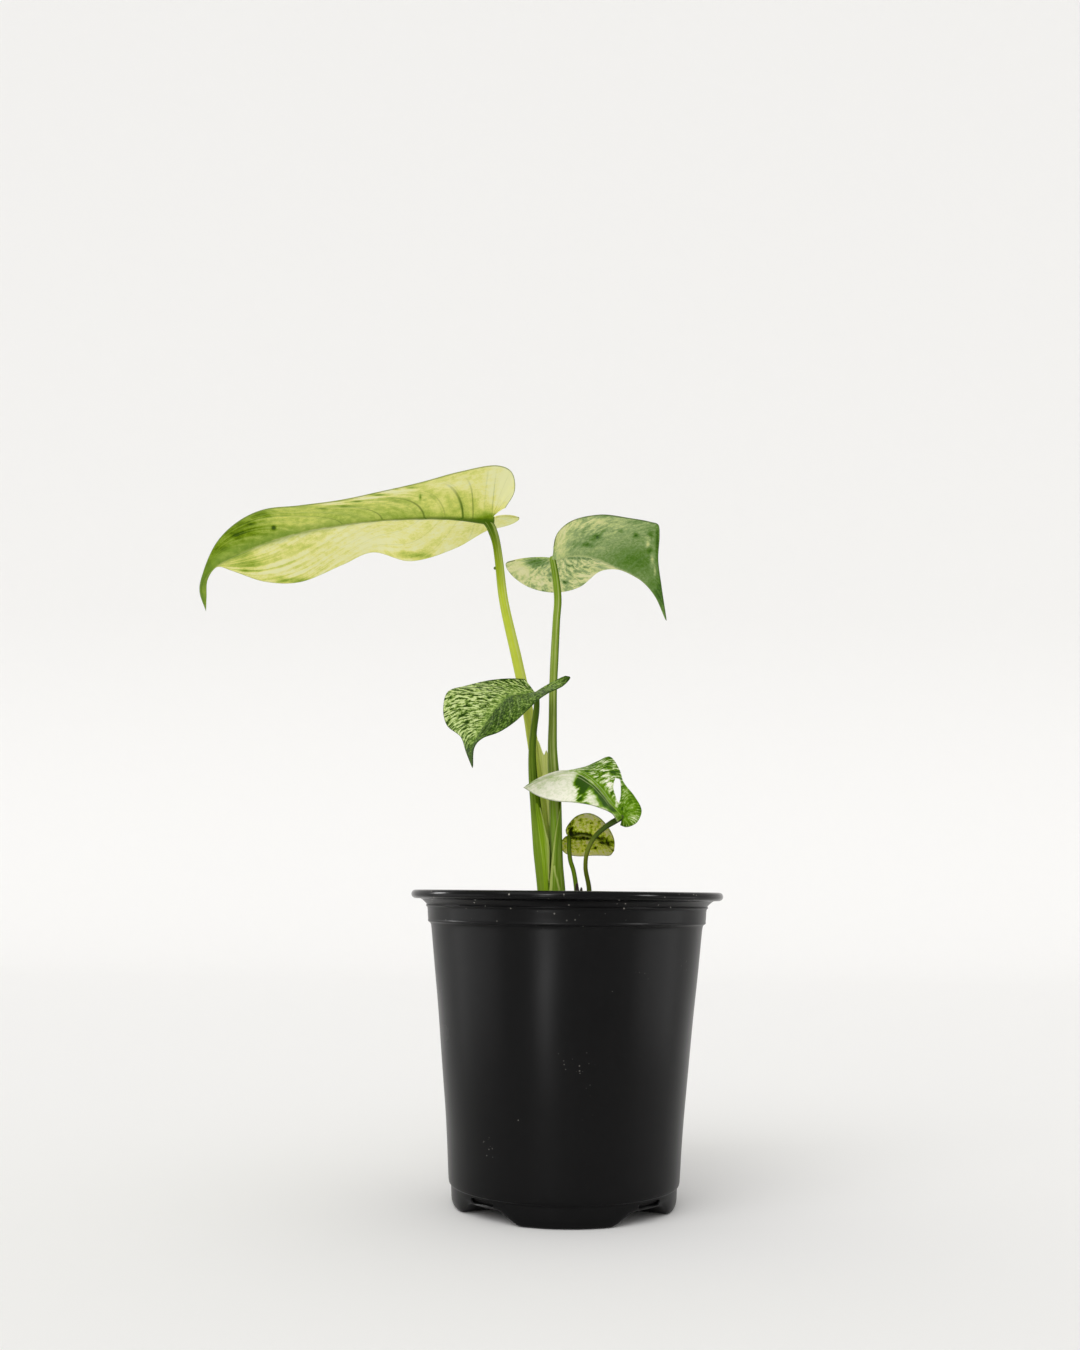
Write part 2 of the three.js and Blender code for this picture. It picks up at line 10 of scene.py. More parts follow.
import bpy
import numpy as np
from bpy.props import FloatProperty, FloatVectorProperty, IntProperty, PointerProperty
from mathutils import Matrix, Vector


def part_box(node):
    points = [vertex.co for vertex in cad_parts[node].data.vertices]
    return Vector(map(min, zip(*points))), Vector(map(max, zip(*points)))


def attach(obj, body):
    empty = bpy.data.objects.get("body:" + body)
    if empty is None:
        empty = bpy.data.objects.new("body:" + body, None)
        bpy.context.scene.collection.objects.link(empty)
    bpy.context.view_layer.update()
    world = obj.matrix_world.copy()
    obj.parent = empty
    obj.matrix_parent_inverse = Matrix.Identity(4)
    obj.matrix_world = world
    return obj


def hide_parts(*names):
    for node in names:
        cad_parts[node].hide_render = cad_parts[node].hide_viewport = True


bl_info = {
    "name": "Potted monstera",
    "version": (1, 0, 0),
    "blender": (4, 5, 0),
    "location": "3D View > Sidebar > Monstera",
    "description": "Builds a variegated monstera in its nursery pot around the packed model",
    "category": "Add Mesh",
}

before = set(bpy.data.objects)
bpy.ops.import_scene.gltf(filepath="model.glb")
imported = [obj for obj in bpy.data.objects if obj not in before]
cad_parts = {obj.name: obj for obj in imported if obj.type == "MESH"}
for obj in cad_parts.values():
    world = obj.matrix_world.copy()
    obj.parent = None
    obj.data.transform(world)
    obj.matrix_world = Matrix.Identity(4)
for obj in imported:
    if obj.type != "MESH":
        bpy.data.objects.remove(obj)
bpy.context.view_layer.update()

MM = 0.001
POT_LOW, POT_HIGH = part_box("pot")
AXIS = np.array([(POT_LOW.x + POT_HIGH.x) / 2, (POT_LOW.y + POT_HIGH.y) / 2, 0.0])

# Pot

# Outside of the pot from the inner edge of the rim down to the foot line: (radius, height).
POT_OUTSIDE = [
    (77.2, 165.7), (80.4, 165.7), (81.7, 165.1), (82.3, 163.6), (82.0, 162.2), (80.6, 161.2),
    (77.4, 161.2), (76.2, 160.4), (74.7, 159.0), (74.0, 158.2), (74.5, 157.8), (74.4, 157.2),
    (73.6, 156.8), (73.4, 152.0), (73.2, 150.3), (73.4, 149.8), (73.2, 149.1), (72.1, 148.6),
    (71.6, 147.2), (71.2, 143.5), (69.4, 123.0), (67.5, 103.0), (65.3, 76.0), (63.1, 50.0),
    (62.0, 32.0), (61.2, 15.0), (60.9, 12.6), (60.5, 12.0), (59.8, 11.7), (59.7, 9.2),
]
# The rest of the outside, down to the middle of the floor, between two feet and through one.
LOWER_PLAIN = [
    (59.3, 8.2), (58.9, 7.4), (58.2, 6.8), (57.2, 6.6), (50.0, 6.6), (41.5, 6.6), (40.3, 6.6),
    (38.6, 6.6), (37.0, 6.6), (20.0, 6.6), (0.0, 6.6),
]
LOWER_FOOT = [
    (59.6, 6.5), (59.4, 3.2), (58.6, 0.8), (57.2, 0.0), (50.0, 0.0), (41.5, 0.0), (40.3, 0.8),
    (38.6, 3.6), (37.0, 6.6), (20.0, 6.6), (0.0, 6.6),
]
# Inside of the pot from the middle of the floor up to the mouth, likewise.
INSIDE_PLAIN = [
    (0.0, 7.8), (20.0, 7.8), (37.5, 7.8), (38.8, 7.8), (40.2, 7.8), (42.4, 7.8), (50.0, 7.8),
    (56.0, 7.8), (57.6, 8.4), (58.3, 9.6), (59.7, 14.6),
]
INSIDE_FOOT = [
    (0.0, 7.8), (20.0, 7.8), (37.5, 7.8), (38.8, 7.0), (40.2, 4.2), (42.4, 1.3), (50.0, 1.3),
    (56.4, 1.3), (58.0, 4.2), (58.4, 8.6), (59.7, 14.6),
]
INSIDE_WALL = [
    (61.9, 50.0), (66.3, 103.0), (70.0, 143.7), (71.6, 149.8), (72.1, 156.6), (74.4, 160.6),
    (75.6, 163.2), (76.4, 165.2),
]
FOOT_COUNT = 4
# A foot's side rises from the floor to the underside: half angle in degrees, share of the foot.
FOOT_SIDE = [(21.5, 1.0), (23.5, 0.97), (26.0, 0.8), (30.0, 0.42), (33.5, 0.1), (36.0, 0.0)]
POT_TURNS = 360
DRAIN_SIZE = (16.0, 16.0, 3.4)
DRAIN_HEIGHT = 9.2
DRAIN_ROUNDNESS = 0.35  # of the openings' corners: 0 makes a rectangle, 1 an ellipse
DRAIN_SIDES = 24
DRAIN_TURN = 0.004  # turn of the openings away from the middle between two feet, in radians
BASE_RADIUS = 59.6
CORNER_CUTS = 2
# Heights between which the dust sets in towards the rim, and between which the lip's sheen does.
DUST_RISE = (146.0, 160.0)
LIP_RISE = (160.8, 161.8)

# Soil

SOIL_RADIUS = 71.0
# The mound from the middle to the wall: (radius, height).
SOIL_TOP = [(0.0, 157.0), (22.0, 156.0), (45.0, 153.0), (SOIL_RADIUS, 151.5)]
SOIL_DEPTH = 5.0
SOIL_RINGS = 90
SOIL_TURNS = 260
PEBBLE_SIDES = 6
STALK_FOOT = (-6.0, -2.0)
SIZE_SEED = 31
# Heights in metres between which the mix is painted darker, downwards: painted shade low in the
# pot, seen through the drain openings.
SHADED_SOIL_HEIGHTS = (0.06, 0.02)
# What lies on the soil: seed, reach from the pot's axis, height over the soil, distance kept from
# the stalks, flatness, and size: the least, what the largest has more, and a power that makes
# large ones rare.
STREWN = {
    "bark_chips": (32, 66.0, 0.5, 8.0, 0.4, (1.6, 2.6, 1.0)),
    "perlite_grains": (34, 68.0, 0.7, 8.0, 0.8, (0.6, 1.7, 2.2)),
    "soil_crumbs": (36, 70.0, 0.3, 4.0, 0.7, (0.4, 0.8, 1.0)),
}

# Stalks: centre lines from the leaf down to the crown, (x, y, z, radius).
STALKS = {
    "petiole_1": [
        (-51, -0.7, 363.4, 0.9), (-46.6, -0.3, 362.4, 1.8), (-43.2, -0.1, 359.6, 2.4),
        (-41, 0, 355, 2.4), (-39.5, 0, 350, 2.1), (-38, 0, 341, 2.2), (-35.3, 1, 320, 2.4),
        (-27.9, 2, 288.5, 2.7), (-21.6, 3.5, 260.5, 2.85), (-19.1, 4.5, 245, 2.8), (-16, 5, 230, 3.3),
        (-13, 5, 214, 3.75), (-11, 4, 187.5, 4.1), (-9, 3, 163.5, 4.1), (-8, 2.5, 139, 3.6),
    ],
    "petiole_2": [
        (-9.5, 0, 341.8, 1.6), (-7.5, 0, 330.5, 1.9), (-6.5, 0, 320, 2), (-7.1, 0, 309.5, 1.95),
        (-8, 0, 288, 2.15), (-8.5, -0.5, 272, 2.05), (-8.5, -0.5, 256.5, 2.15), (-8.5, -1, 240.5, 2.45),
        (-7.5, -1.5, 224.5, 3), (-6.5, -2, 206, 3.2), (-5.9, -2, 182, 3.4), (-4.5, -2, 163.5, 3.7),
        (-4, -2, 139, 3.4),
    ],
    "petiole_3": [
        (-17, -7.8, 269, 1.3), (-17.2, -7.5, 260.5, 1.6), (-18.5, -6.5, 250, 1.75),
        (-19.2, -5.5, 239.5, 1.9), (-18.7, -4.5, 226.5, 2.3), (-17.1, -4, 211, 2.8),
        (-14.4, -4, 187, 3.7), (-11.8, -4, 163.5, 3.7), (-10.5, -3.5, 139, 3.3),
    ],
    "petiole_4": [
        (28, -7.4, 204.6, 1.5), (23.5, -9.5, 202, 1.6), (18.5, -14, 198.5, 1.3),
        (13.5, -16, 193.5, 1.2), (9.9, -17, 186, 1.1), (9.2, -14.5, 178, 1.1), (11.4, -10, 165.5, 1.25),
        (9, -8, 150, 1.4), (0, -4, 134, 1.4),
    ],
    "petiole_5": [
        (0.8, -0.1, 194.9, 1), (0.8, -3, 188.5, 1.1), (1.5, -4, 182, 1.15), (3.3, -5, 176, 1.15),
        (4.9, -5, 165.5, 1.2), (5, -4.5, 150, 1.4), (0, -2, 136, 1.4),
    ],
}

# A small scar on the left side of stalk 1.
SCAR_PLACE = (-39.9, 0.4, 336.6)
SCAR_RADIUS = 0.85

# Sheaths: thin sheets between a left and a right line, (x, y, z) from the top down, how far down
# the lines each part of the mouth starts, (place from left to right, share), how far the sheet
# stands out, and which border is free: 0 the left one, 1 the right one, none for a joined sheet.
# crease: a pale line in the sheet, (place from left to right, height) at its foot and its top.
PLAIN_MOUTH = [(0, 0), (1, 0)]
# How pale the free border and the crease are, and how wide as a share of the sheet's width.
PALE_RIM = (0.8, 0.17)
PALE_CREASE = (0.6, 0.07)
SHEATHS = {
    "sheath_left": {
        "left": [
            (-17.2, -6.6, 212), (-16.8, -6.9, 207), (-15.7, -7.3, 198), (-14.4, -7.7, 187),
            (-13.1, -7.7, 176), (-11.8, -7.7, 163), (-11.1, -7.3, 150),
        ],
        "right": [
            (-15.4, -5.4, 212), (-14.3, -5.5, 208.5), (-11.6, -5.8, 198), (-9.7, -5.9, 190),
            (-9.4, -5.9, 178), (-9.3, -5.8, 166), (-9.3, -5.6, 150),
        ],
        "mouth": PLAIN_MOUTH, "bulge": 0.35, "free": 1,
    },
    "sheath_right": {
        "left": [
            (-3.8, -4.6, 213), (-4.2, -5.3, 209.6), (-6.4, -6.0, 198), (-7.9, -6.3, 187),
            (-8.9, -6.6, 176), (-9.5, -6.9, 166), (-9.6, -6.6, 150),
        ],
        "right": [
            (-3.5, -2.9, 213), (-3.3, -3.0, 209), (-3.0, -3.0, 198), (-2.6, -3.2, 187),
            (-2.0, -3.4, 176), (-0.9, -3.5, 163), (-0.7, -3.4, 150),
        ],
        "mouth": PLAIN_MOUTH, "bulge": 1.5, "free": 0, "crease": ((0.63, 167), (0.25, 179)),
    },
    "sheath_mouth": {
        "left": [
            (-17.2, 2.6, 247), (-16.2, 2.6, 240), (-15, 3, 232), (-13.6, 3, 222), (-12, 3, 212),
            (-10.5, 3, 200),
        ],
        "right": [
            (-10.4, -0.5, 243), (-10.2, -1, 236), (-10, -1.2, 230), (-9.6, -1.5, 222),
            (-9.2, -1.6, 212), (-8.8, -1.6, 200),
        ],
        "mouth": [(0, 0), (0.2, 0.04), (0.4, 0.16), (0.55, 0.21), (0.7, 0.13), (0.8, 0.1), (1, 0.2)],
        "bulge": 0.8, "free": None,
    },
}

# Blades. The midrib runs from the stalk to the tip: (x, y, z). Each half's margin starts beside
# the notch at the stalk, goes round the basal lobe and on to the tip: (x, y, z, s), where s is the
# fraction of the midrib from which the side vein that ends there starts (0: at the stalk). rib:
# thickness at the stalk, of which RIB_SHARE of what is above RIB_FLOOR stands out below. RIB_TAPER
# of that is lost at the tip. face: roughly where the upper side looks. arch: rise of each half
# between midrib and margin, as a share of its width. swell: height and half width of the swelling
# at the stalk, and over which share of the midrib it dies away. rows: steps round the basal lobe
# and along the midrib. columns: steps from the midrib to the margin. hole: outline of a split,
# (x, z).
RIB_FLOOR = 0.7
RIB_SHARE = 0.75
RIB_TAPER = 0.75
RIB_WIDTH = 2.2  # half width of the swelling along the thickest midrib
RIB_THICKEST = 1.7
GROOVE_DEPTH = 0.12  # of the groove above the midrib
THIN_EDGE = 0.5  # width of the border on which a blade thins out
TIP_LENGTH = 2.0  # of the margin, over which a blade thins out at its tip
QUILT_FADE = (8.0, 6.0)  # from the margin and from the midrib
FULL_QUILT = 45.0  # length of the longest side vein from which the quilting has its full depth
SPLIT_REACH = 16.0  # of the cutter, towards the viewer and away
# The last steps before the margin, as shares of a side vein, finer where a blade thins out.
EDGE_STEPS = np.array([0.036, 0.024, 0.012, 0.004, 0.0])
BLADES = {
    "blade_1": {
        "midrib": [
            (-42, 0, 363), (-64, -1, 363.5), (-90.5, -2, 362), (-116.5, -3, 359), (-143, -3, 354),
            (-169.5, -3, 345), (-188.5, -2, 335), (-195, -1, 325.5), (-193, 0, 312),
        ],
        "front": [
            (-34.5, -9, 366, 0), (-29.5, -20, 372, 0), (-31, -30, 378.5, 0), (-38, -37, 379.5, 0),
            (-56.5, -44, 374, 0.09), (-76, -47, 367.5, 0.2), (-96, -46, 363, 0.32),
            (-116, -43, 359.5, 0.43), (-137, -38, 358, 0.54), (-157.5, -31, 357.5, 0.64),
            (-173.5, -21, 353, 0.74), (-186.5, -9, 345, 0.83), (-194, -3, 332, 0.9),
            (-196, -2, 322.5, 0.95), (-193, 0, 312, 1),
        ],
        "back": [
            (-30.6, 17, 368, 0), (-27.9, 20.6, 369, 0), (-28.2, 24.4, 368.8, 0), (-31.5, 29, 368, 0),
            (-36.5, 33, 367.4, 0), (-46, 37, 366, 0), (-64, 43, 357.5, 0.09), (-89.5, 47, 351, 0.2),
            (-111, 48, 356, 0.31), (-127.5, 45, 348, 0.41), (-150, 38, 336.5, 0.53),
            (-167, 27, 334, 0.64), (-182, 13, 336.5, 0.76), (-188.5, 4, 336.5, 0.85),
            (-192.5, 1, 329, 0.91), (-193, 1, 320, 0.96), (-193, 0, 312, 1),
        ],
        "face": (0, 0, 1), "arch": 0.05, "swell": (2.9, 2.8, 0.13),
        "rib": 1.7, "rows": (70, 330), "columns": 34,
    },
    "blade_2": {
        "midrib": [
            (-9.5, 0, 342), (1, 8, 346), (11, 15, 347), (26, 23, 343), (39, 28, 338), (47.5, 30, 329.5),
            (54, 30, 315.5),
        ],
        "front": [
            (-9, -7, 346.5, 0), (-7, -16, 351.5, 0), (0.5, -25, 355.5, 0), (14.5, -27, 358, 0.16),
            (30, -20, 358.3, 0.33), (42, -9.5, 359.2, 0.46), (46.2, -4, 359.2, 0.54),
            (47.2, 1, 355, 0.6), (47.6, 13, 345, 0.72), (50, 22, 334, 0.85), (51.9, 26.2, 325, 0.93),
            (54, 30, 315.5, 1),
        ],
        "back": [
            (-30, 18, 345, 0), (-35, 26, 345, 0), (-31.5, 37, 341, 0), (-21.5, 46, 336.5, 0),
            (-7, 53, 335.5, 0.1), (6.5, 56, 339.5, 0.2), (18, 56, 348.5, 0.34), (28, 53, 349, 0.48),
            (40.8, 46.5, 341.5, 0.64), (47.9, 41, 334.5, 0.75), (51.7, 36.5, 327.5, 0.85),
            (54, 30, 315.5, 1),
        ],
        "face": (0, 0, 1), "arch": 0.03, "swell": (1.3, 1.5, 0.12),
        "rib": 1.5, "rows": (80, 220), "columns": 34,
    },
    "blade_3": {
        "midrib": [
            (-18, -8, 269.5), (-23, -13, 268), (-31, -21, 265.5), (-36.5, -29, 259.5), (-41, -36, 252),
            (-45, -42, 244.5), (-48.5, -46, 236.5), (-48.5, -48, 226),
        ],
        "front": [
            (-2.0, -15, 277.4, 0), (0.2, -17.5, 276.4, 0), (-3.4, -23, 271.2, 0), (-11, -29, 266.5, 0),
            (-16, -36, 262, 0.08), (-22, -45, 255, 0.2), (-28.5, -52, 248, 0.34),
            (-35.5, -56, 243, 0.5), (-43.5, -55, 240, 0.66), (-47.5, -51, 236, 0.82),
            (-48.5, -48, 226, 1),
        ],
        "back": [
            (-23.5, -6, 277, 0), (-30.5, -4, 277.5, 0), (-42, -3, 276.5, 0.13), (-55, -5, 273, 0.26),
            (-63.5, -9, 269.5, 0.38), (-65.5, -16, 260, 0.5), (-63, -25, 250, 0.62),
            (-55, -36, 242.5, 0.76), (-52, -43, 234.5, 0.88), (-48.5, -48, 226, 1),
        ],
        "face": (-0.3, -0.6, 0.7), "arch": 0.04, "swell": (0.9, 1.2, 0.2),
        "rib": 1.4, "rows": (60, 180), "columns": 34,
    },
    "blade_4": {
        "midrib": [
            (28.5, -8, 204.5), (23, -9, 210.5), (16.5, -9, 219), (10, -9, 225), (3.5, -10, 228),
            (-6.5, -12, 227), (-16, -15, 223), (-23.5, -17, 219),
        ],
        "front": [
            (25.5, -12, 202, 0), (22.5, -17, 206, 0), (16, -23, 208.5, 0.17), (10, -26, 210, 0.32),
            (1.5, -27, 211, 0.48), (-6.5, -26, 211.5, 0.64), (-15, -22, 214, 0.8), (-23.5, -17, 219, 1),
        ],
        "back": [
            (27.5, -7, 200.5, 0), (30.5, -8, 199.5, 0), (34, -7.5, 200.5, 0), (37, -5, 203, 0),
            (39, -1, 209, 0), (35.5, 3, 216.5, 0), (29.5, 6, 224.5, 0), (27.5, 8, 231, 0.14),
            (22.5, 9, 238, 0.26), (16, 8, 235.5, 0.4), (9.5, 4, 232, 0.54), (3.5, -2, 229.5, 0.66),
            (-5.5, -8, 228.5, 0.8), (-16, -14, 224, 0.91), (-23.5, -17, 219, 1),
        ],
        "face": (0, -0.9, 0.4), "arch": 0.05, "swell": (0.7, 1.0, 0.15),
        "rib": 1.3, "rows": (110, 170), "columns": 30,
        # The single split between two side veins, seen from the front: (x, z).
        "hole": [
            (25, 226), (23.8, 221), (24.8, 216.5), (26.4, 212.5), (27.5, 215), (28, 222), (27.5, 225.5),
        ],
    },
    "blade_5": {
        "midrib": [(1, 0, 195), (6.5, 1, 196), (13, 2, 195), (19.5, 3, 192), (25, 3, 187.5)],
        "front": [
            (-0.5, -2.5, 195.5, 0), (-1, -4, 198, 0), (0.5, -6, 201, 0), (4.5, -9, 205, 0.2),
            (10.5, -10, 206.5, 0.4), (16, -10, 204.5, 0.58), (21, -7, 199.5, 0.76),
            (24.5, -2, 193.5, 0.9), (25, 3, 187.5, 1),
        ],
        "back": [
            (-1, 1, 194.5, 0), (-2.5, 3, 193, 0), (-3.5, 6, 190, 0), (-1, 10, 186, 0),
            (6, 13, 184.5, 0.26), (13.5, 14, 185, 0.46), (19.5, 12, 185, 0.66), (23, 8, 185, 0.84),
            (25, 3, 187.5, 1),
        ],
        "face": (0, 0.5, 0.85), "arch": 0.08, "swell": (0.5, 0.9, 0.15),
        "rib": 1.2, "rows": (40, 110), "columns": 28,
    },
}

# Numpy shapes


def catmull_rom(points, u):
    """Points of a curve through the given ones, at u from 0 at the first to 1 at the last.

    Between two points the curve is a cubic whose slope at each of them comes from its neighbours,
    weighted by the square roots of the distances, so that close points make no loops.
    """
    points = np.asarray(points, float)
    p = np.vstack([2 * points[0] - points[1], points, 2 * points[-1] - points[-2]])
    place = np.clip(np.asarray(u, float), 0, 1) * (len(points) - 1)
    i = np.minimum(place.astype(int), len(points) - 2)
    w = (place - i)[:, None]
    p0, p1, p2, p3 = p[i], p[i + 1], p[i + 2], p[i + 3]

    def spacing(a, b):
        return np.sqrt(np.linalg.norm(b - a, axis=1, keepdims=True))

    d0, d1, d2 = spacing(p0, p1), spacing(p1, p2), spacing(p2, p3)
    start = ((p1 - p0) / d0 - (p2 - p0) / (d0 + d1) + (p2 - p1) / d1) * d1
    end = ((p2 - p1) / d1 - (p3 - p1) / (d1 + d2) + (p3 - p2) / d2) * d1
    square = 3 * (p2 - p1) - 2 * start - end
    cube = 2 * (p1 - p2) + start + end
    return p1 + start * w + square * w**2 + cube * w**3


def along_curve(points, shares, samples=201):
    """Points of that curve at the given shares of its length."""
    u = np.linspace(0, 1, samples)
    run = run_length(catmull_rom(points, u))
    return catmull_rom(points, np.interp(np.asarray(shares) * run[-1], run, u))


def run_length(points):
    """Length of a row of points up to each of them."""
    steps = np.linalg.norm(np.diff(points, axis=0), axis=1)
    return np.concatenate([[0], np.cumsum(steps)])


def cut_corners(points, times):
    """A rounder line with the same ends: each stretch gives way to its points at 1/4 and 3/4."""
    points = np.asarray(points, float)
    for _ in range(times):
        a, b = points[:-1], points[1:]
        between = np.stack([a * 0.75 + b * 0.25, a * 0.25 + b * 0.75], 1)
        points = np.vstack([points[:1], between.reshape(-1, points.shape[1]), points[-1:]])
    return points


def grid_quads(rows, columns, closed=False):
    """Corner numbers of the quads of a grid that is numbered row by row.

    With closed, the last column is joined to the first.
    """
    i, j = np.meshgrid(np.arange(rows - 1), np.arange(columns - (not closed)), indexing="ij")
    k = (j + 1) % columns
    corners = [i * columns + j, i * columns + k, (i + 1) * columns + k, (i + 1) * columns + j]
    return np.stack(corners, -1).reshape(-1, 4)


def weld(points, size=1e-7):
    """Which points are kept, and for each point the number of the kept one that stands for it."""
    keys = np.round(points / size).astype(np.int64)
    _, kept, stands_for = np.unique(keys, axis=0, return_index=True, return_inverse=True)
    return kept, stands_for.reshape(-1)


def surface_normals(points, quads):
    """Unit normals at the points: the sum of the cross products of the diagonals round each."""
    a, b, c, d = (points[quads[:, k]] for k in range(4))
    area = np.cross(c - a, d - b)
    total = np.zeros_like(points)
    for k in range(4):
        np.add.at(total, quads[:, k], area)
    return total / np.maximum(np.linalg.norm(total, axis=1, keepdims=True), 1e-12)


def full_turn(steps):
    """Evenly spread angles of one turn, in radians."""
    return np.linspace(0, 2 * math.pi, steps, endpoint=False)


def waves(points, scale, seed, octaves=3):
    """Soft random relief, mostly from -1 to 1: sines of random directions, finer ones weaker."""
    rng = np.random.default_rng(seed)
    total = np.zeros(points.shape[:-1])
    weight = 0.0
    for octave in range(octaves):
        for _ in range(4):
            direction = rng.normal(size=points.shape[-1])
            direction *= 2 * math.pi * 2**octave / (scale * np.linalg.norm(direction))
            total += np.sin(points @ direction + rng.uniform(0, 6.28)) * 0.6**octave
        weight += 2.2 * 0.6**octave
    return total / weight


def new_piece(name, points, quads, material, values=None, smooth=True):
    """A mesh object from points in millimetres from the pot's axis and quads.

    Points that coincide become one, corners that repeat are dropped, so that a quad may become a
    triangle or vanish. values holds one number a point for each named attribute.
    """
    kept, stands_for = weld(points * MM)
    quads = stands_for[quads]
    fresh = quads != np.roll(quads, 1, axis=1)
    good = fresh.sum(1) > 2
    good &= (quads[:, 0] != quads[:, 2]) & (quads[:, 1] != quads[:, 3])
    totals = fresh[good].sum(1)
    corners = quads[good][fresh[good]]
    mesh = bpy.data.meshes.new(name)
    mesh.vertices.add(len(kept))
    mesh.vertices.foreach_set("co", (points[kept] * MM + AXIS).astype(np.float32).ravel())
    mesh.loops.add(len(corners))
    mesh.loops.foreach_set("vertex_index", corners.astype(np.int32))
    mesh.polygons.add(len(totals))
    mesh.polygons.foreach_set("loop_start", np.concatenate([[0], np.cumsum(totals)[:-1]]))
    mesh.polygons.foreach_set("use_smooth", np.full(len(totals), smooth))
    for key, numbers in (values or {}).items():
        layer = mesh.attributes.new(key, "FLOAT", "POINT")
        layer.data.foreach_set("value", np.asarray(numbers, np.float32)[kept])
    mesh.update(calc_edges=True)
    mesh.validate()
    mesh.materials.append(material)
    piece = bpy.data.objects.new(name, mesh)
    bpy.context.scene.collection.objects.link(piece)
    return piece


def belongs(piece, slot, *nodes):
    """The piece rides on the one body and hides the solids of the nodes it stands for; slot is not
    used.
    """
    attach(piece, "root")
    if nodes:
        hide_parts(*nodes)


def dress(node, finish):
    """Gives a finish to a solid that stays as it is."""
    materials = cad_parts[node].data.materials
    materials.clear()
    materials.append(finish)


def cut_away(piece, cutters):
    """Cuts the cutters out of the piece for good and removes them."""
    for cutter in cutters:
        cut = piece.modifiers.new("cut", "BOOLEAN")
        cut.object = cutter
        cut.operation = "DIFFERENCE"
        cut.solver = "EXACT"
    graph = bpy.context.evaluated_depsgraph_get()
    result = bpy.data.meshes.new_from_object(piece.evaluated_get(graph))
    piece.modifiers.clear()
    piece.data = result
    for cutter in cutters:
        bpy.data.objects.remove(cutter)


# Finishes


def srgb(red, green, blue):
    """A linear colour with alpha from the 0 to 255 values that a screen shows."""
    shares = np.array([red, green, blue]) / 255
    linear = np.where(shares <= 0.04045, shares / 12.92, ((shares + 0.055) / 1.055) ** 2.4)
    return (*linear.tolist(), 1.0)


class Finish:
    """A procedural material that is put together node by node round one Principled shader."""

    def __init__(self, name, roughness, specular):
        self.material = bpy.data.materials.new(name)
        self.material.use_nodes = True
        self.tree = self.material.node_tree
        self.shader = self.tree.nodes["Principled BSDF"]
        self.shader.inputs["Roughness"].default_value = roughness
        self.shader.inputs["Specular IOR Level"].default_value = specular

    def let_light_through(self, share, depth):
        """Lets a share of the light spread under the skin, by about depth metres."""
        self.shader.inputs["Subsurface Weight"].default_value = share
        self.shader.inputs["Subsurface Scale"].default_value = depth
        self.shader.inputs["Subsurface Radius"].default_value = (1.0, 1.0, 0.4)

    def node(self, kind, inputs, output=0, **settings):
        """A node with its inputs set or linked; gives the output asked for."""
        made = self.tree.nodes.new("ShaderNode" + kind)
        for key, value in settings.items():
            setattr(made, key, value)
        for key, value in inputs.items():
            if isinstance(value, bpy.types.NodeSocket):
                self.tree.links.new(value, made.inputs[key])
            else:
                made.inputs[key].default_value = value
        return made.outputs[output]

    def attribute(self, name):
        return self.node("Attribute", {}, "Fac", attribute_name=name)

    def place(self):
        """Object coordinates, in metres."""
        return self.node("TexCoord", {}, "Object")

    def math(self, operation, a, b=0.0):
        return self.node("Math", {0: a, 1: b}, operation=operation)

    def times(self, a, b):
        return self.math("MULTIPLY", a, b)

    def plus(self, a, b):
        return self.math("ADD", a, b)

    def vector(self, x, y):
        return self.node("CombineXYZ", {0: x, 1: y})

    def noise(self, vector, scale, detail=2.0, roughness=0.5):
        settings = {"Vector": vector, "Scale": scale, "Detail": detail, "Roughness": roughness}
        return self.node("TexNoise", settings)

    def cells(self, vector, scale):
        """Distance to the nearest of many scattered points."""
        return self.node("TexVoronoi", {"Vector": vector, "Scale": scale}, "Distance")

    def rise(self, value, low, high):
        """Smooth step from 0 at low to 1 at high."""
        inputs = {"Value": value, "From Min": low, "From Max": high}
        return self.node("MapRange", inputs, interpolation_type="SMOOTHSTEP")

    def scale(self, value, low, high):
        """Straight line from low at 0 to high at 1, level outside of that."""
        return self.node("MapRange", {"Value": value, "To Min": low, "To Max": high})

    def ramp(self, value, stops):
        """Colour from (place, colour) stops."""
        made = self.tree.nodes.new("ShaderNodeValToRGB")
        elements = made.color_ramp.elements
        elements[0].position, elements[0].color = stops[0]
        elements[1].position, elements[1].color = stops[-1]
        for place, colour in stops[1:-1]:
            elements.new(place).color = colour
        self.tree.links.new(value, made.inputs[0])
        return made.outputs[0]

    def mix(self, share, a, b):
        """Colour a turning into colour b."""
        return self.node("Mix", {0: share, 6: a, 7: b}, 2, data_type="RGBA")

    def bump(self, height, strength, distance):
        inputs = {"Height": height, "Strength": strength, "Distance": distance}
        self.tree.links.new(self.node("Bump", inputs), self.shader.inputs["Normal"])

    def colour(self, socket):
        self.tree.links.new(socket, self.shader.inputs["Base Color"])

    def vary(self, name, socket):
        """Drives one of the shader's inputs."""
        self.tree.links.new(socket, self.shader.inputs[name])


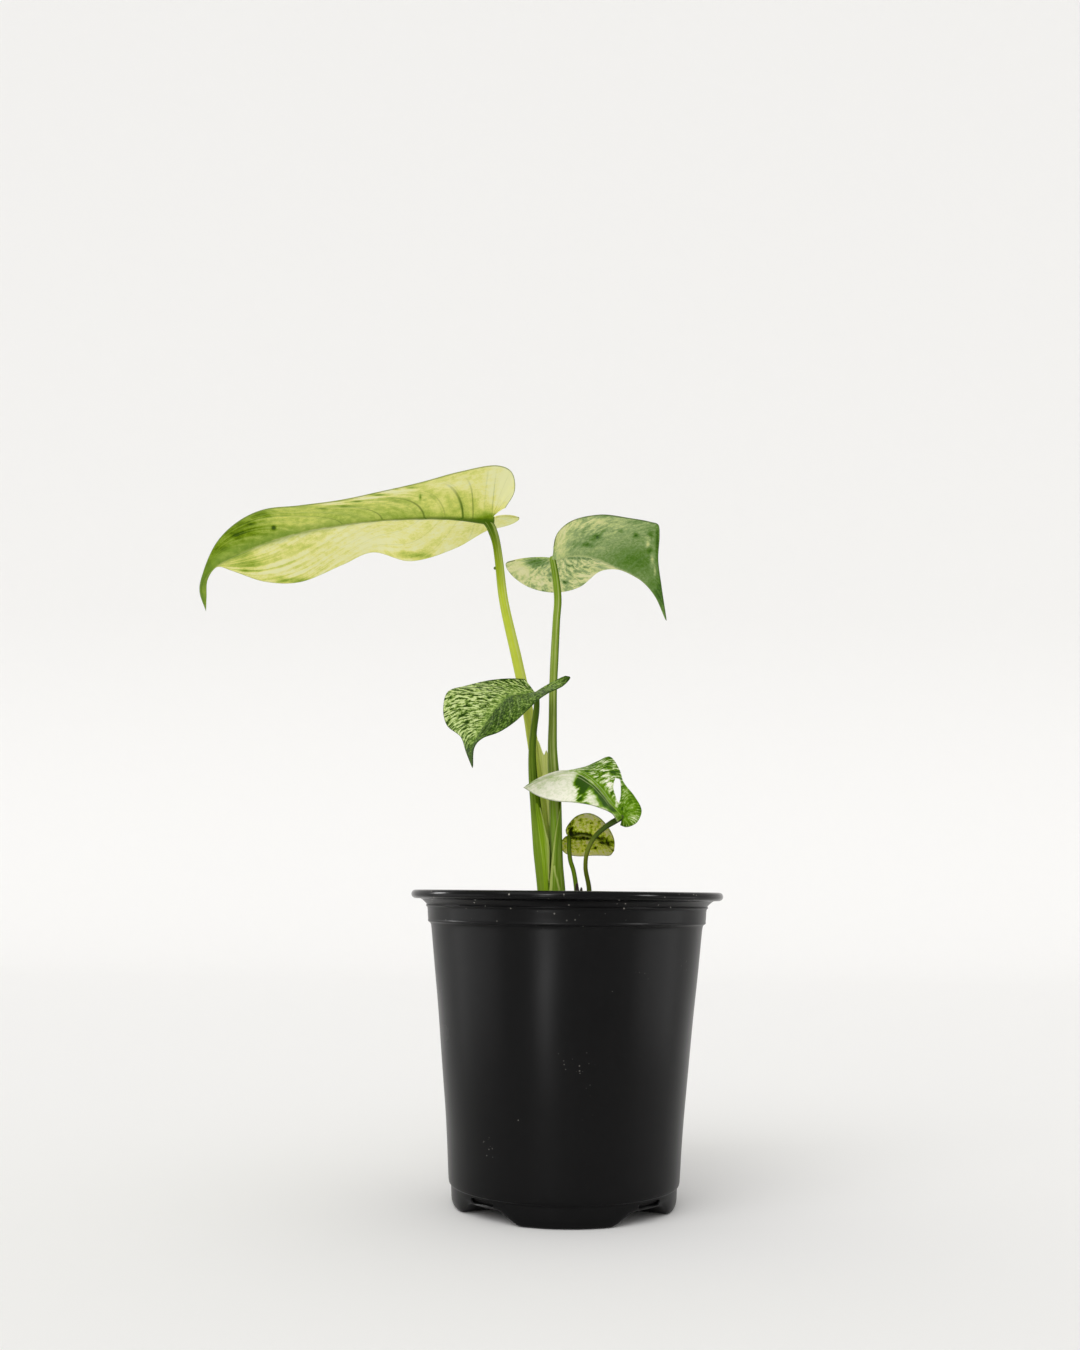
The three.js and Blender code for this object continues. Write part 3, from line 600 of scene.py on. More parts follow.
def plastic_finish(settings):
    """Black satin plastic with faint flow lines, scuffs and specks that are densest at the rim."""
    finish = Finish("black plastic", settings.roughness, settings.gloss)
    place = finish.place()
    stretched = finish.node("Mapping", {"Vector": place, "Scale": (1.0, 1.0, 0.06)})
    flow = finish.noise(stretched, 160.0, 3.0, 0.6)
    cloud = finish.noise(place, 14.0, 3.0)
    tone = finish.plus(finish.scale(flow, -0.12, 0.12), finish.scale(cloud, 0.2, 0.8))
    plastic = tuple(settings.colour)
    dark = (*(channel * 0.75 for channel in plastic), 1.0)
    light = (*(channel * 1.35 for channel in plastic), 1.0)
    base = finish.ramp(tone, [(0.2, dark), (0.8, light)])
    height = finish.attribute("height")
    near_rim = finish.rise(height, *DUST_RISE)
    specks = finish.rise(finish.cells(place, 300.0), 0.16, 0.08)
    patchy = finish.rise(finish.noise(place, 90.0, 2.0), 0.5, 0.6)
    fine = finish.times(specks, patchy)
    fine = finish.times(fine, near_rim)
    rare = finish.times(finish.rise(finish.cells(place, 70.0), 0.034, 0.016), 0.45)
    worn = finish.rise(finish.noise(place, 26.0, 1.0), 0.66, 0.74)
    scuff = finish.times(finish.rise(finish.cells(place, 420.0), 0.2, 0.1), worn)
    scuff = finish.times(scuff, 0.3)
    dust = finish.math("MAXIMUM", finish.math("MAXIMUM", fine, rare), scuff)
    dusted = finish.mix(finish.times(dust, 0.75), base, srgb(176, 172, 164))
    finish.colour(dusted)
    rough = finish.plus(finish.scale(cloud, -0.06, 0.06), settings.roughness)
    lip = finish.rise(height, *LIP_RISE)
    rough = finish.math("SUBTRACT", rough, finish.times(lip, 0.12))
    finish.vary("Roughness", rough)
    grain = finish.noise(place, 1500.0, 2.0)
    finish.bump(finish.plus(finish.scale(flow, 0.0, 0.6), grain), 0.10, 0.0001)
    return finish.material


def soil_finish():
    """Moist potting mix, dark brown with paler fibres; painted shade blackens it low down."""
    finish = Finish("potting mix", 0.92, 0.25)
    place = finish.place()
    coarse = finish.noise(place, 260.0, 5.0, 0.7)
    base = finish.ramp(
        coarse,
        [(0.3, srgb(30, 22, 17)), (0.5, srgb(58, 43, 33)), (0.68, srgb(96, 74, 56))],
    )
    straws = finish.rise(finish.noise(place, 900.0, 2.0), 0.66, 0.72)
    dry = finish.mix(straws, base, srgb(150, 122, 92))
    # Painted shade: the mix turns almost black towards the bottom of the pot.
    low = finish.rise(finish.node("SeparateXYZ", {"Vector": place}, "Z"), *SHADED_SOIL_HEIGHTS)
    finish.colour(finish.mix(low, dry, srgb(14, 12, 11)))
    finish.bump(finish.noise(place, 1200.0, 4.0, 0.7), 0.8, 0.0006)
    return finish.material


def bark_finish(name, dark, light):
    """Bark or wood with a lengthwise grain."""
    finish = Finish(name, 0.85, 0.25)
    place = finish.place()
    grain = finish.noise(finish.node("Mapping", {"Vector": place, "Scale": (1, 1, 0.2)}), 900.0, 4.0)
    finish.colour(finish.ramp(grain, [(0.32, dark), (0.7, light)]))
    finish.bump(grain, 0.7, 0.0004)
    return finish.material


def perlite_finish():
    """White expanded mineral grains, porous and slightly soiled."""
    finish = Finish("perlite", 0.9, 0.3)
    place = finish.place()
    soiled = finish.noise(place, 420.0, 3.0)
    finish.colour(finish.ramp(soiled, [(0.35, srgb(196, 190, 178)), (0.6, srgb(240, 238, 232))]))
    finish.bump(finish.cells(place, 2600.0), 0.5, 0.0003)
    return finish.material


def root_finish():
    """Pale tan root skin."""
    finish = Finish("root skin", 0.75, 0.3)
    skin = finish.noise(finish.place(), 300.0, 4.0)
    finish.colour(finish.ramp(skin, [(0.3, srgb(140, 110, 70)), (0.7, srgb(196, 168, 120))]))
    finish.bump(skin, 0.5, 0.0004)
    return finish.material


# Stalk colours: skin from the leaf down to the soil (share of the length, colour), and how dark (0)
# or light (1) it is painted from the middle (0) to the right side (1), 0.5 being the skin's own
# colour: painted shade and painted highlight that make the stalk look round. The left half has the
# tone of the middle. dark and light are the colours of that painted shade and highlight; dark also
# tints the random mottle.
STALK_LOOKS = {
    "petiole_1": {
        # From 0.52 to 0.84 the skin is painted lighter where the stalk runs through shade between the
        # sheaths and the other stalks: painted light.
        "skin": [
            (0.0, srgb(60, 94, 0)), (0.05, srgb(76, 108, 0)), (0.09, srgb(112, 138, 0)),
            (0.14, srgb(152, 172, 16)), (0.21, srgb(194, 208, 58)), (0.4, srgb(204, 214, 72)),
            (0.52, srgb(214, 226, 90)), (0.7, srgb(216, 234, 100)), (0.84, srgb(200, 224, 90)),
            (1.0, srgb(130, 156, 46)),
        ],
        "across": [(0.0, 0.58), (0.2, 0.62), (0.7, 0.8), (1.0, 0.4)],
        "dark": srgb(92, 122, 8), "light": srgb(206, 214, 128),
    },
    "petiole_2": {
        # From 0.68 to 0.85 the skin is painted lighter where the stalk runs through shade between the
        # sheaths: painted light.
        "skin": [
            (0.0, srgb(108, 142, 22)), (0.1, srgb(124, 154, 30)), (0.3, srgb(134, 156, 56)),
            (0.5, srgb(122, 146, 44)), (0.61, srgb(122, 150, 40)), (0.68, srgb(142, 186, 40)),
            (0.85, srgb(128, 172, 30)), (1.0, srgb(96, 116, 30)),
        ],
        "across": [(0.0, 0.6), (0.24, 0.9), (0.5, 0.5), (0.8, 0.2), (1.0, 0.1)],
        "dark": srgb(66, 96, 10), "light": srgb(190, 200, 124),
    },
    "petiole_3": {
        "skin": [
            (0.0, srgb(72, 102, 22)), (0.15, srgb(82, 112, 12)), (0.4, srgb(96, 128, 12)),
            (0.6, srgb(124, 162, 18)), (0.8, srgb(128, 164, 26)), (1.0, srgb(118, 144, 38)),
        ],
        "across": [(0.0, 0.75), (0.4, 0.5), (0.8, 0.25), (1.0, 0.1)],
        "dark": srgb(52, 78, 8), "light": srgb(142, 170, 56),
    },
    "petiole_4": {
        "skin": [
            (0.0, srgb(74, 98, 36)), (0.2, srgb(74, 98, 30)), (0.35, srgb(128, 140, 40)),
            (0.5, srgb(104, 120, 26)), (0.7, srgb(62, 78, 16)), (1.0, srgb(70, 74, 26)),
        ],
        "across": [(0.0, 0.55), (0.4, 0.45), (1.0, 0.1)],
        "dark": srgb(44, 58, 14), "light": srgb(140, 152, 80),
    },
    "petiole_5": {
        "skin": [
            (0.0, srgb(96, 120, 14)), (0.35, srgb(108, 140, 14)), (0.6, srgb(92, 124, 20)),
            (0.8, srgb(64, 84, 20)), (1.0, srgb(80, 84, 30)),
        ],
        "across": [(0.0, 0.567), (0.4, 0.5), (1.0, 0.1)],
        "dark": srgb(52, 72, 12), "light": srgb(140, 164, 70),
    },
}


def toned(finish, skin, tone, look):
    """The skin's colour, darker where the tone is below 0.5 and lighter where it is above."""
    darker = finish.mix(finish.rise(tone, 0.5, 0.0), skin, look["dark"])
    return finish.mix(finish.rise(tone, 0.5, 1.0), darker, look["light"])


def stalk_finish(name, look):
    """Smooth green stalk skin, finely striped lengthwise, with painted shade and highlight across it.
    """
    finish = Finish("stalk skin " + name[-1], 0.55, 0.05)
    place = finish.place()
    turn = finish.attribute("turn")
    skin = finish.ramp(finish.attribute("along"), look["skin"])
    across = [(spot, (shade, shade, shade, 1.0)) for spot, shade in look["across"]]
    # Tone across the stalk: painted shade and painted highlight.
    tone = finish.ramp(finish.attribute("side"), across)
    drawn = finish.vector(finish.times(turn, 2.2), finish.times(finish.attribute("length"), 0.02))
    stripe = finish.rise(finish.noise(drawn, 1.5, 3.0, 0.6), 0.33, 0.67)
    tone = finish.plus(tone, finish.scale(stripe, -0.16, 0.16))
    base = toned(finish, skin, tone, look)
    mottle = finish.noise(place, 260.0, 3.0)
    base = finish.mix(finish.scale(mottle, 0.0, 0.22), base, look["dark"])
    finish.colour(base)
    finish.bump(finish.plus(stripe, finish.times(mottle, 0.4)), 0.2, 0.0003)
    return finish.material


SHEATH_LOOKS = {
    "sheath_left": {
        "skin": srgb(144, 182, 26), "dark": srgb(92, 130, 4), "light": srgb(208, 224, 124),
    },
    "sheath_right": {
        "skin": srgb(116, 152, 30), "dark": srgb(68, 100, 8), "light": srgb(186, 204, 106),
    },
    "sheath_mouth": {
        # The mouth's skin is painted lighter than its own colour to make up for the shade of the
        # crevice it lies in: painted light.
        "skin": srgb(238, 246, 140), "dark": srgb(200, 220, 84), "light": srgb(246, 250, 196),
    },
}


def sheath_finish(name, look):
    """Thin green sheath skin with lengthwise stripes and a pale rim along its free edge."""
    finish = Finish("sheath skin " + name[7:], 0.55, 0.05)
    drawn = finish.vector(
        finish.times(finish.attribute("across"), 7.0),
        finish.times(finish.attribute("length"), 0.03),
    )
    stripe = finish.rise(finish.noise(drawn, 1.0, 3.0, 0.6), 0.33, 0.67)
    tone = finish.plus(finish.scale(stripe, 0.25, 0.7), finish.attribute("rim"))
    finish.colour(toned(finish, look["skin"], tone, look))
    finish.bump(stripe, 0.25, 0.0003)
    return finish.material


# How each blade is marked. green and fleck are fields over each half: a level for the whole half
# and soft spots of more or less, (x, z, reach along x, reach along z, amount). skin: colours from no
# green to full green. streak: width and length of the flecks along the side veins, whose contrast
# the field fleck gives; speck: contrast and size of round ones. lines: side veins that stand out,
# (half, place on the margin, half width, strength); rails: lines along the midrib at a distance
# from it, given alike. bend: how far a side vein runs on towards the tip before it meets the
# margin, (share of the margin, distance). swept_back: the back half's veins bend the other way,
# three times as far. veins: spacing, half width, colour and strength of the side veins. band:
# colour, strength and width of a band beside the midrib, which fades towards the stalk. midrib:
# colour, strength and half width. margin: colour and strength. upper: brightness of the upper side
# against the underside. thin: share of the light that spreads under the skin.
BLADE_LOOKS = {
    "blade_1": {
        "green": {
            "front": [
                0.42, (-34.5, 380, 11.5, 21, -0.44), (-51.5, 384, 16, 11.5, -0.2),
                (-69.5, 381, 16, 3.5, -0.26), (-93.5, 377.5, 10.5, 2, -0.5),
                (-110.5, 373.5, 10.5, 1.5, -0.5), (-126.5, 370, 9.5, 1.3, -0.45),
                (-121.5, 369, 6.5, 0.6, 0.55), (-102, 375, 4, 0.6, 0.5), (-114, 371.5, 2.5, 0.5, 0.45),
                (-93, 378, 2.5, 0.5, 0.45), (-85, 379, 3, 0.5, 0.35), (-132, 367.5, 2.5, 0.5, 0.35),
                (-98.5, 365, 32, 3.5, 0.1), (-77.5, 370.5, 16, 4, -0.1),
                (-175.5, 355.5, 18, 10.5, 0.36), (-164, 364, 5.5, 2, 0.28), (-177.5, 353, 5, 2.5, 0.24),
                (-185, 345.5, 4, 2.5, 0.26), (-170, 358.5, 3, 1.5, 0.22),
                (-170.5, 351.5, 6.5, 1.3, -0.2), (-159.5, 361.5, 6.5, 1.1, -0.14),
                (-149, 354, 21, 2, 0.08), (-193.5, 326, 7.5, 24, 0.5), (-157.5, 357, 1.1, 1, 0.9),
                (-80, 374, 0.5, 1.5, 0.6), (-44, 364.5, 5, 2, 0.6), (-101.5, 376.5, 11, 1.3, -0.2),
                (-51.5, 363, 7.5, 1.5, 0.5),
            ],
            "back": [
                0.13, (-74.5, 342.5, 11.5, 1.5, 0.36), (-88, 345, 3, 1, 0.3),
                (-106.5, 349, 16, 5.5, -0.14), (-143.5, 347, 16, 1.5, 0.12), (-178, 342, 11.5, 4, 0.4),
                (-170, 336.5, 7.5, 3, 0.26), (-145, 329, 18, 1.4, 0.36), (-152.5, 330, 3, 1.1, 0.3),
                (-140, 328, 4, 0.8, 0.35), (-129.5, 330.5, 3, 0.8, 0.3), (-155, 334, 8.5, 1.5, -0.2),
                (-172.5, 334, 6.5, 1.5, 0.2), (-193.5, 326, 7.5, 24, 0.5), (-31, 362, 7.5, 5.5, -0.1),
                (-122, 340, 5.5, 2, -0.1), (-45, 361.5, 5, 1.1, 0.2),
            ],
        },
        "fleck": {
            "front": [0.1, (-172.5, 358, 18, 10.5, 0.14), (-112, 373, 32, 2.5, 0.3)],
            "back": [0.14, (-159, 334.5, 26.5, 7.5, 0.34), (-74.5, 343, 14, 2.5, 0.3)],
        },
        "skin": [
            (0.0, srgb(246, 240, 184)), (0.15, srgb(236, 233, 148)), (0.3, srgb(214, 218, 112)),
            (0.45, srgb(184, 198, 88)), (0.6, srgb(150, 173, 60)), (0.75, srgb(120, 148, 22)),
            (0.9, srgb(86, 114, 0)), (1.0, srgb(56, 84, 0)),
        ],
        "streak": (6.5, 34.0), "speck": (0.13, 4.0), "veins": (13.5, 0.5, srgb(120, 150, 60), 0.12),
        "lines": [
            (1, 48, 0.7, 0.7), (1, 55.5, 1.2, 0.95), (1, 77.5, 0.9, 0.8), (1, 99, 0.9, 0.6),
            (1, 121, 0.9, 0.45), (1, 36, 0.5, 0.4), (1, 66, 0.6, 0.35),
        ],
        "rails": [], "line": srgb(84, 116, 22),
        "bend": [(0, 0), (0.17, 0), (0.24, 10), (0.32, 20), (0.4, 36), (0.55, 62), (1, 90)],
        "swept_back": False,
        "midrib": (srgb(66, 102, 4), 0.95, 2.3), "band": (srgb(126, 158, 62), 0.75, 9.0),
        "margin": (srgb(122, 140, 84), 0.7), "upper": 0.78, "thin": 0.0,
    },
    "blade_2": {
        "green": {
            "front": [
                0.56, (-5.5, 352, 4, 11.5, -0.4), (9, 362, 14, 3.5, -0.24), (22, 357.5, 14, 6, -0.12),
                (0.5, 358, 5.5, 4, -0.16), (5, 346.5, 10.5, 2.5, -0.06), (14, 354, 2, 1.3, 0.55),
                (12, 352.5, 1.5, 0.8, 0.35), (9, 349.5, 2.5, 1.1, 0.5), (17, 357, 1.5, 0.7, 0.2),
                (26.5, 357, 1.5, 1, 0.3), (34.5, 355, 1.4, 1.3, 0.5), (34.5, 341.5, 12.5, 6.5, 0.24),
                (42.5, 356, 2, 1.5, 0.3), (41, 350.5, 1, 2, -0.4), (42, 347, 1.4, 1.3, 0.3),
                (43.5, 342, 1.2, 3.5, -0.42), (45, 336, 0.7, 3, -0.35), (46, 352, 0.8, 7.5, 0.4),
                (48.5, 323.5, 6.5, 11.5, 0.34), (17.5, 347.5, 7.5, 1.4, -0.08),
            ],
            "back": [
                0.28, (-27, 338, 5, 4, -0.26), (-18.5, 340, 6.5, 2.5, 0.56),
                (-24.5, 334.5, 3, 4, -0.14), (4, 342.5, 8.5, 1, 0.4), (0, 338.5, 2, 1, 0.4),
                (-3, 330, 1.2, 1.2, 0.5), (8.5, 337.5, 2.5, 0.7, 0.35), (-14.5, 325, 2.5, 0.8, 0.4),
                (-11, 331.5, 1.1, 3, 0.3), (-21.5, 330, 1.5, 1.1, 0.3), (-2.5, 335.5, 8.5, 3, 0.08),
                (-17, 330.5, 6.5, 2.5, -0.16), (11.5, 332.5, 5.5, 2, -0.16), (15.5, 341.5, 5.5, 1.3, 0),
                (45, 334, 10.5, 16, 0.4),
            ],
        },
        "fleck": {
            "front": [
                0.18, (34.5, 342.5, 15, 8.5, -1), (7.5, 360.5, 14, 5, 0.2), (42, 349.5, 3, 8.5, 0.3),
            ],
            "back": [0.5, (-18.5, 340, 6.5, 2, -0.3), (-27, 337, 6.5, 5.5, -0.36)],
        },
        "skin": [
            (0.0, srgb(232, 230, 178)), (0.2, srgb(216, 220, 150)), (0.34, srgb(190, 204, 134)),
            (0.48, srgb(154, 176, 114)), (0.62, srgb(120, 150, 82)), (0.8, srgb(90, 130, 44)),
            (1.0, srgb(40, 76, 14)),
        ],
        "streak": (2.8, 6.0), "speck": (0.12, 1.6), "veins": (9.0, 1.5, srgb(160, 184, 132), 0.12),
        "lines": [], "rails": [], "line": srgb(158, 180, 132),
        "bend": [(0, 0), (0.2, 4), (0.5, 16), (1, 24)],
        "swept_back": False,
        "midrib": (srgb(186, 200, 130), 0.8, 0.8), "band": (srgb(120, 150, 92), 0.3, 3.0),
        "margin": (srgb(70, 92, 50), 0.75), "upper": 0.8, "thin": 0.0,
    },
    "blade_3": {
        "green": {
            "front": [
                0.75, (-37.5, 258, 4, 3.5, 0.18), (-32.5, 264.5, 3, 2.5, 0.12),
                (-25, 264.5, 3, 2, -0.16), (-7.5, 274.5, 9.5, 3, -0.16), (-0.5, 278, 1.5, 1.5, 0.3),
                (-47, 251.5, 6.5, 2, 0.12), (-53, 235.5, 3, 7.5, 0.4),
            ],
            "back": [
                0.48, (-42, 277.5, 19, 1.2, 0.45), (-64.5, 263, 1.5, 9.5, -0.2),
                (-33.5, 273.5, 8.5, 3, 0.16), (-28.5, 271, 6.5, 1.1, -0.16),
                (-53, 235.5, 3.5, 7.5, 0.5), (-56.5, 258.5, 4, 4, 0), (-52.5, 266.5, 7.5, 5.5, -0.06),
            ],
        },
        "fleck": {
            "front": [0.28, (-37.5, 259, 7.5, 6.5, 0.2)],
            "back": [1.3, (-53, 235.5, 3.5, 7.5, -0.9), (-30.5, 272, 7.5, 4, -0.6)],
        },
        "skin": [
            (0.0, srgb(192, 204, 152)), (0.25, srgb(166, 184, 116)), (0.42, srgb(134, 156, 88)),
            (0.56, srgb(98, 124, 62)), (0.72, srgb(72, 96, 40)), (0.88, srgb(46, 70, 22)),
            (1.0, srgb(32, 52, 12)),
        ],
        "streak": (1.4, 4.6), "speck": (0.46, 1.5), "veins": (7.5, 0.5, srgb(180, 198, 140), 0.2),
        "lines": [], "rails": [], "line": srgb(180, 198, 140),
        "bend": [(0, 0), (0.3, 4), (1, 14)],
        "swept_back": False,
        "midrib": (srgb(104, 132, 70), 0.7, 0.8), "band": (srgb(110, 138, 76), 0.3, 2.5),
        "margin": (srgb(52, 74, 32), 0.85), "upper": 1.0, "thin": 0.0,
    },
    "blade_4": {
        "green": {
            "front": [
                0.08, (27.5, 204, 3, 2.5, 0.5), (-10, 225.5, 10.5, 2.5, 0.12), (-8, 225, 4, 1.5, 0.16),
                (-14.5, 220.5, 3, 2, 0.2), (-0.5, 229.5, 2.5, 1.1, 0.2), (6.5, 225, 2.5, 3, 1.3),
                (4.5, 222.5, 2, 1.5, 0.6), (8, 221.5, 2.5, 2.5, 1.1), (7.5, 218, 2.5, 2.5, 1.2),
                (6.5, 214, 2.5, 1.5, 1), (10, 212, 3, 0.8, 0.7), (15, 210.5, 3, 0.6, 0.4),
                (9.5, 224, 2, 1.5, 0.6), (12, 221.5, 2.5, 2, 0.8), (15, 218.5, 2.5, 2.5, 0.9),
                (17.5, 215, 2.5, 2.5, 0.9), (20, 212, 3, 2, 0.9), (23.5, 209.5, 3, 2, 0.9),
                (17, 220, 2.5, 2, 0.5), (20.5, 216, 2.5, 2, 0.5), (28.5, 208, 5.5, 4, 0.5),
            ],
            "back": [
                0.74, (-9, 227, 14, 5.5, -0.78), (21.5, 222.5, 2.5, 3.5, -0.7),
                (25.5, 212.5, 0.8, 3, -0.4), (20.5, 234, 3, 0.6, -0.3), (18.5, 230, 3.5, 0.5, -0.3),
                (20, 227, 3, 0.6, -0.34), (24, 235.5, 0.8, 4, -0.3), (11.5, 233.5, 4, 0.6, 0.2),
                (35, 204.5, 4, 2, -0.24), (29.5, 215.5, 2.5, 4, -0.16), (34, 210, 2.5, 3, -0.1),
                (8, 226.5, 2, 2, 0.3), (38, 213, 1.1, 6.5, 0.1),
            ],
        },
        "fleck": {
            "front": [0.08, (7, 219.5, 4, 7.5, 0.7)],
            "back": [
                0.85, (-9.5, 227, 14, 5.5, -0.75), (33.5, 211, 6.5, 11.5, -0.66),
                (17, 221.5, 7.5, 2.5, -0.3),
            ],
        },
        "skin": [
            (0.0, srgb(240, 238, 222)), (0.26, srgb(214, 218, 190)), (0.42, srgb(184, 200, 144)),
            (0.54, srgb(132, 160, 78)), (0.7, srgb(92, 130, 32)), (1.0, srgb(44, 78, 6)),
        ],
        "streak": (1.3, 8.0), "speck": (0.2, 2.2), "veins": (7.0, 0.4, srgb(196, 208, 150), 0.0),
        "lines": [], "rails": [(1, 1.8, 0.6, 0.8), (1, 4.6, 0.6, 0.4), (-1, 1.4, 0.4, 0.5)],
        "line": srgb(204, 214, 160),
        "bend": [(0, 0), (0.1, 1), (0.3, 5), (0.6, 9), (1, 10)],
        "swept_back": True,
        "midrib": (srgb(156, 184, 92), 0.8, 0.8), "band": (srgb(82, 126, 22), 0.2, 4.4),
        "margin": (srgb(110, 130, 80), 0.5), "upper": 1.0, "thin": 0.0,
    },
    "blade_5": {
        "green": {
            "front": [
                0.2, (6.5, 203.5, 1.3, 0.7, 0.5), (12.5, 202, 1.3, 0.6, 0.5), (17, 203, 1.1, 0.5, 0.3),
                # The spots of 0.9 along the midrib darken the fold there: painted shade.
                (10, 204.5, 1.1, 0.5, 0.3), (1.5, 198, 1.5, 5.5, 0.85), (7.5, 196, 6.5, 1.3, 0.9),
                (5, 196.5, 1.5, 1.3, 0.4), (16, 194, 4, 1.4, 0.9), (21.5, 191.5, 3, 2, 0.9),
                (15, 199.5, 5.5, 1.1, 0.2), (15, 205.5, 6.5, 1.5, -0.1),
            ],
            "back": [
                0.2, (14.5, 189, 1.5, 1.1, 0.7), (9, 190, 1.1, 0.7, 0.4), (9.5, 188, 2, 0.9, 0.45),
                (24.5, 190, 1.3, 3, 1), (11, 185, 11.5, 1.4, -0.4), (1.5, 191.5, 1.5, 2.5, 0.3),
                # The spots of 0.9 along the midrib darken the fold there: painted shade.
                (8, 194, 7, 1, 0.9), (19.5, 192, 3, 1.2, 0.9), (4.5, 187.5, 3, 1.5, 0.16),
            ],
        },
        "fleck": {"front": [0.3], "back": [0.24]},
        # These colours are painted lighter than the blade's own, to make up for the shade it lies in
        # below blade 4: painted light.
        "skin": [
            (0.0, srgb(252, 248, 190)), (0.25, srgb(232, 240, 128)), (0.42, srgb(210, 224, 84)),
            (0.58, srgb(170, 190, 40)), (0.75, srgb(116, 136, 8)), (0.9, srgb(62, 78, 0)),
            (1.0, srgb(30, 40, 0)),
        ],
        "streak": (1.7, 5.0), "speck": (0.44, 1.6), "veins": (6.0, 0.4, srgb(176, 178, 96), 0.2),
        "lines": [], "rails": [], "line": srgb(90, 106, 30),
        "bend": [(0, 0), (1, 6)],
        "swept_back": False,
        # The midrib's dark colour is partly its own and partly painted shade in the fold along it.
        "midrib": (srgb(58, 72, 12), 0.8, 0.9), "band": (srgb(90, 104, 20), 0.5, 1.8),
        "margin": (srgb(60, 74, 30), 0.7), "upper": 0.95, "thin": 0.8,
    },
}


def blade_finish(name, look, settings):
    """Marbled leaf skin: the green field plus flecks along the side veins picks the colour."""
    finish = Finish("leaf skin " + name[-1], settings.roughness, settings.gloss)
    if look["thin"]:
        finish.let_light_through(look["thin"], 2 * settings.thickness)
    vein = finish.attribute("vein")
    out = finish.attribute("out")
    edge = finish.attribute("edge")
    far = finish.math("ABSOLUTE", out)
    place = finish.place()
    width, length = look["streak"]
    drawn = finish.vector(finish.math("DIVIDE", vein, width), finish.math("DIVIDE", out, length))
    streak = finish.rise(finish.noise(drawn, 1.0, 3.0, 0.6), 0.34, 0.66)
    contrast = finish.times(finish.attribute("fleck"), finish.rise(far, 0.0, 6.0))
    streaks = finish.times(finish.math("SUBTRACT", streak, 0.5), contrast)
    speck_amount, speck_size = look["speck"]
    speck = finish.rise(finish.noise(place, 1 / (speck_size * MM), 2.0, 0.6), 0.34, 0.66)
    specks = finish.scale(speck, -speck_amount / 2, speck_amount / 2)
    fine = finish.noise(place, 1500.0, 2.0)
    level = finish.plus(finish.attribute("green"), streaks)
    level = finish.plus(level, specks)
    level = finish.plus(level, finish.scale(fine, -0.12, 0.12))
    gain = settings.brightness
    skin = finish.ramp(level, [
        (spot, (*(min(1.0, channel * gain) for channel in colour[:3]), 1.0))
        for spot, colour in look["skin"]
    ])

    band_colour, band_strength, band_width = look["band"]
    basal = finish.rise(finish.attribute("taper"), 0.5, 1.0)
    near = finish.times(finish.rise(far, band_width, 0.0), finish.scale(basal, 1.0, 0.0))
    patchy = finish.times(near, finish.scale(speck, band_strength * 0.7, band_strength))
    skin = finish.mix(patchy, skin, band_colour)

    spacing, line, line_colour, strength = look["veins"]
    uneven = finish.plus(vein, finish.scale(finish.noise(drawn, 0.35), -2.0, 2.0))
    off_vein = finish.math("PINGPONG", uneven, spacing / 2)
    inside = finish.rise(edge, 0.5, 9.0)
    on_vein = finish.times(finish.rise(off_vein, line, line * 0.2), inside)
    skin = finish.mix(finish.times(on_vein, strength), skin, line_colour)
    fading = finish.rise(far, 42.0, 4.0)
    for half, where, wide, strong in look["lines"]:
        off = finish.math("ABSOLUTE", finish.math("SUBTRACT", uneven, where))
        drawn_line = finish.times(finish.rise(off, wide, wide * 0.1), fading)
        own = finish.rise(finish.times(out, half), 0.0, 0.5)
        share = finish.times(finish.times(drawn_line, own), strong)
        skin = finish.mix(share, skin, look["line"])

    for half, where, wide, strong in look["rails"]:
        off = finish.math("ABSOLUTE", finish.math("SUBTRACT", out, half * where))
        share = finish.times(finish.rise(off, wide, wide * 0.2), strong)
        share = finish.times(share, finish.rise(basal, 0.98, 0.84))
        skin = finish.mix(share, skin, look["line"])

    rib_colour, rib_strength, rib_width = look["midrib"]
    rib = finish.rise(far, rib_width, rib_width * 0.3)
    rib = finish.times(rib, finish.scale(basal, 0.15, 1.0))
    skin = finish.mix(finish.times(rib, rib_strength), skin, rib_colour)
    margin_colour, margin_strength = look["margin"]
    at_margin = finish.rise(edge, 0.75, 0.1)
    skin = finish.mix(finish.times(at_margin, margin_strength), skin, margin_colour)
    upper = finish.node(
        "HueSaturation", {"Color": skin, "Saturation": 1.1, "Value": look["upper"]}
    )
    finish.colour(finish.mix(finish.attribute("under"), upper, skin))
    relief = finish.plus(finish.times(fine, 0.35), finish.scale(speck, 0, 0.2))
    relief = finish.plus(relief, finish.times(on_vein, -0.6))
    finish.bump(relief, 0.25, 0.0003)
    return finish.material


# Pieces


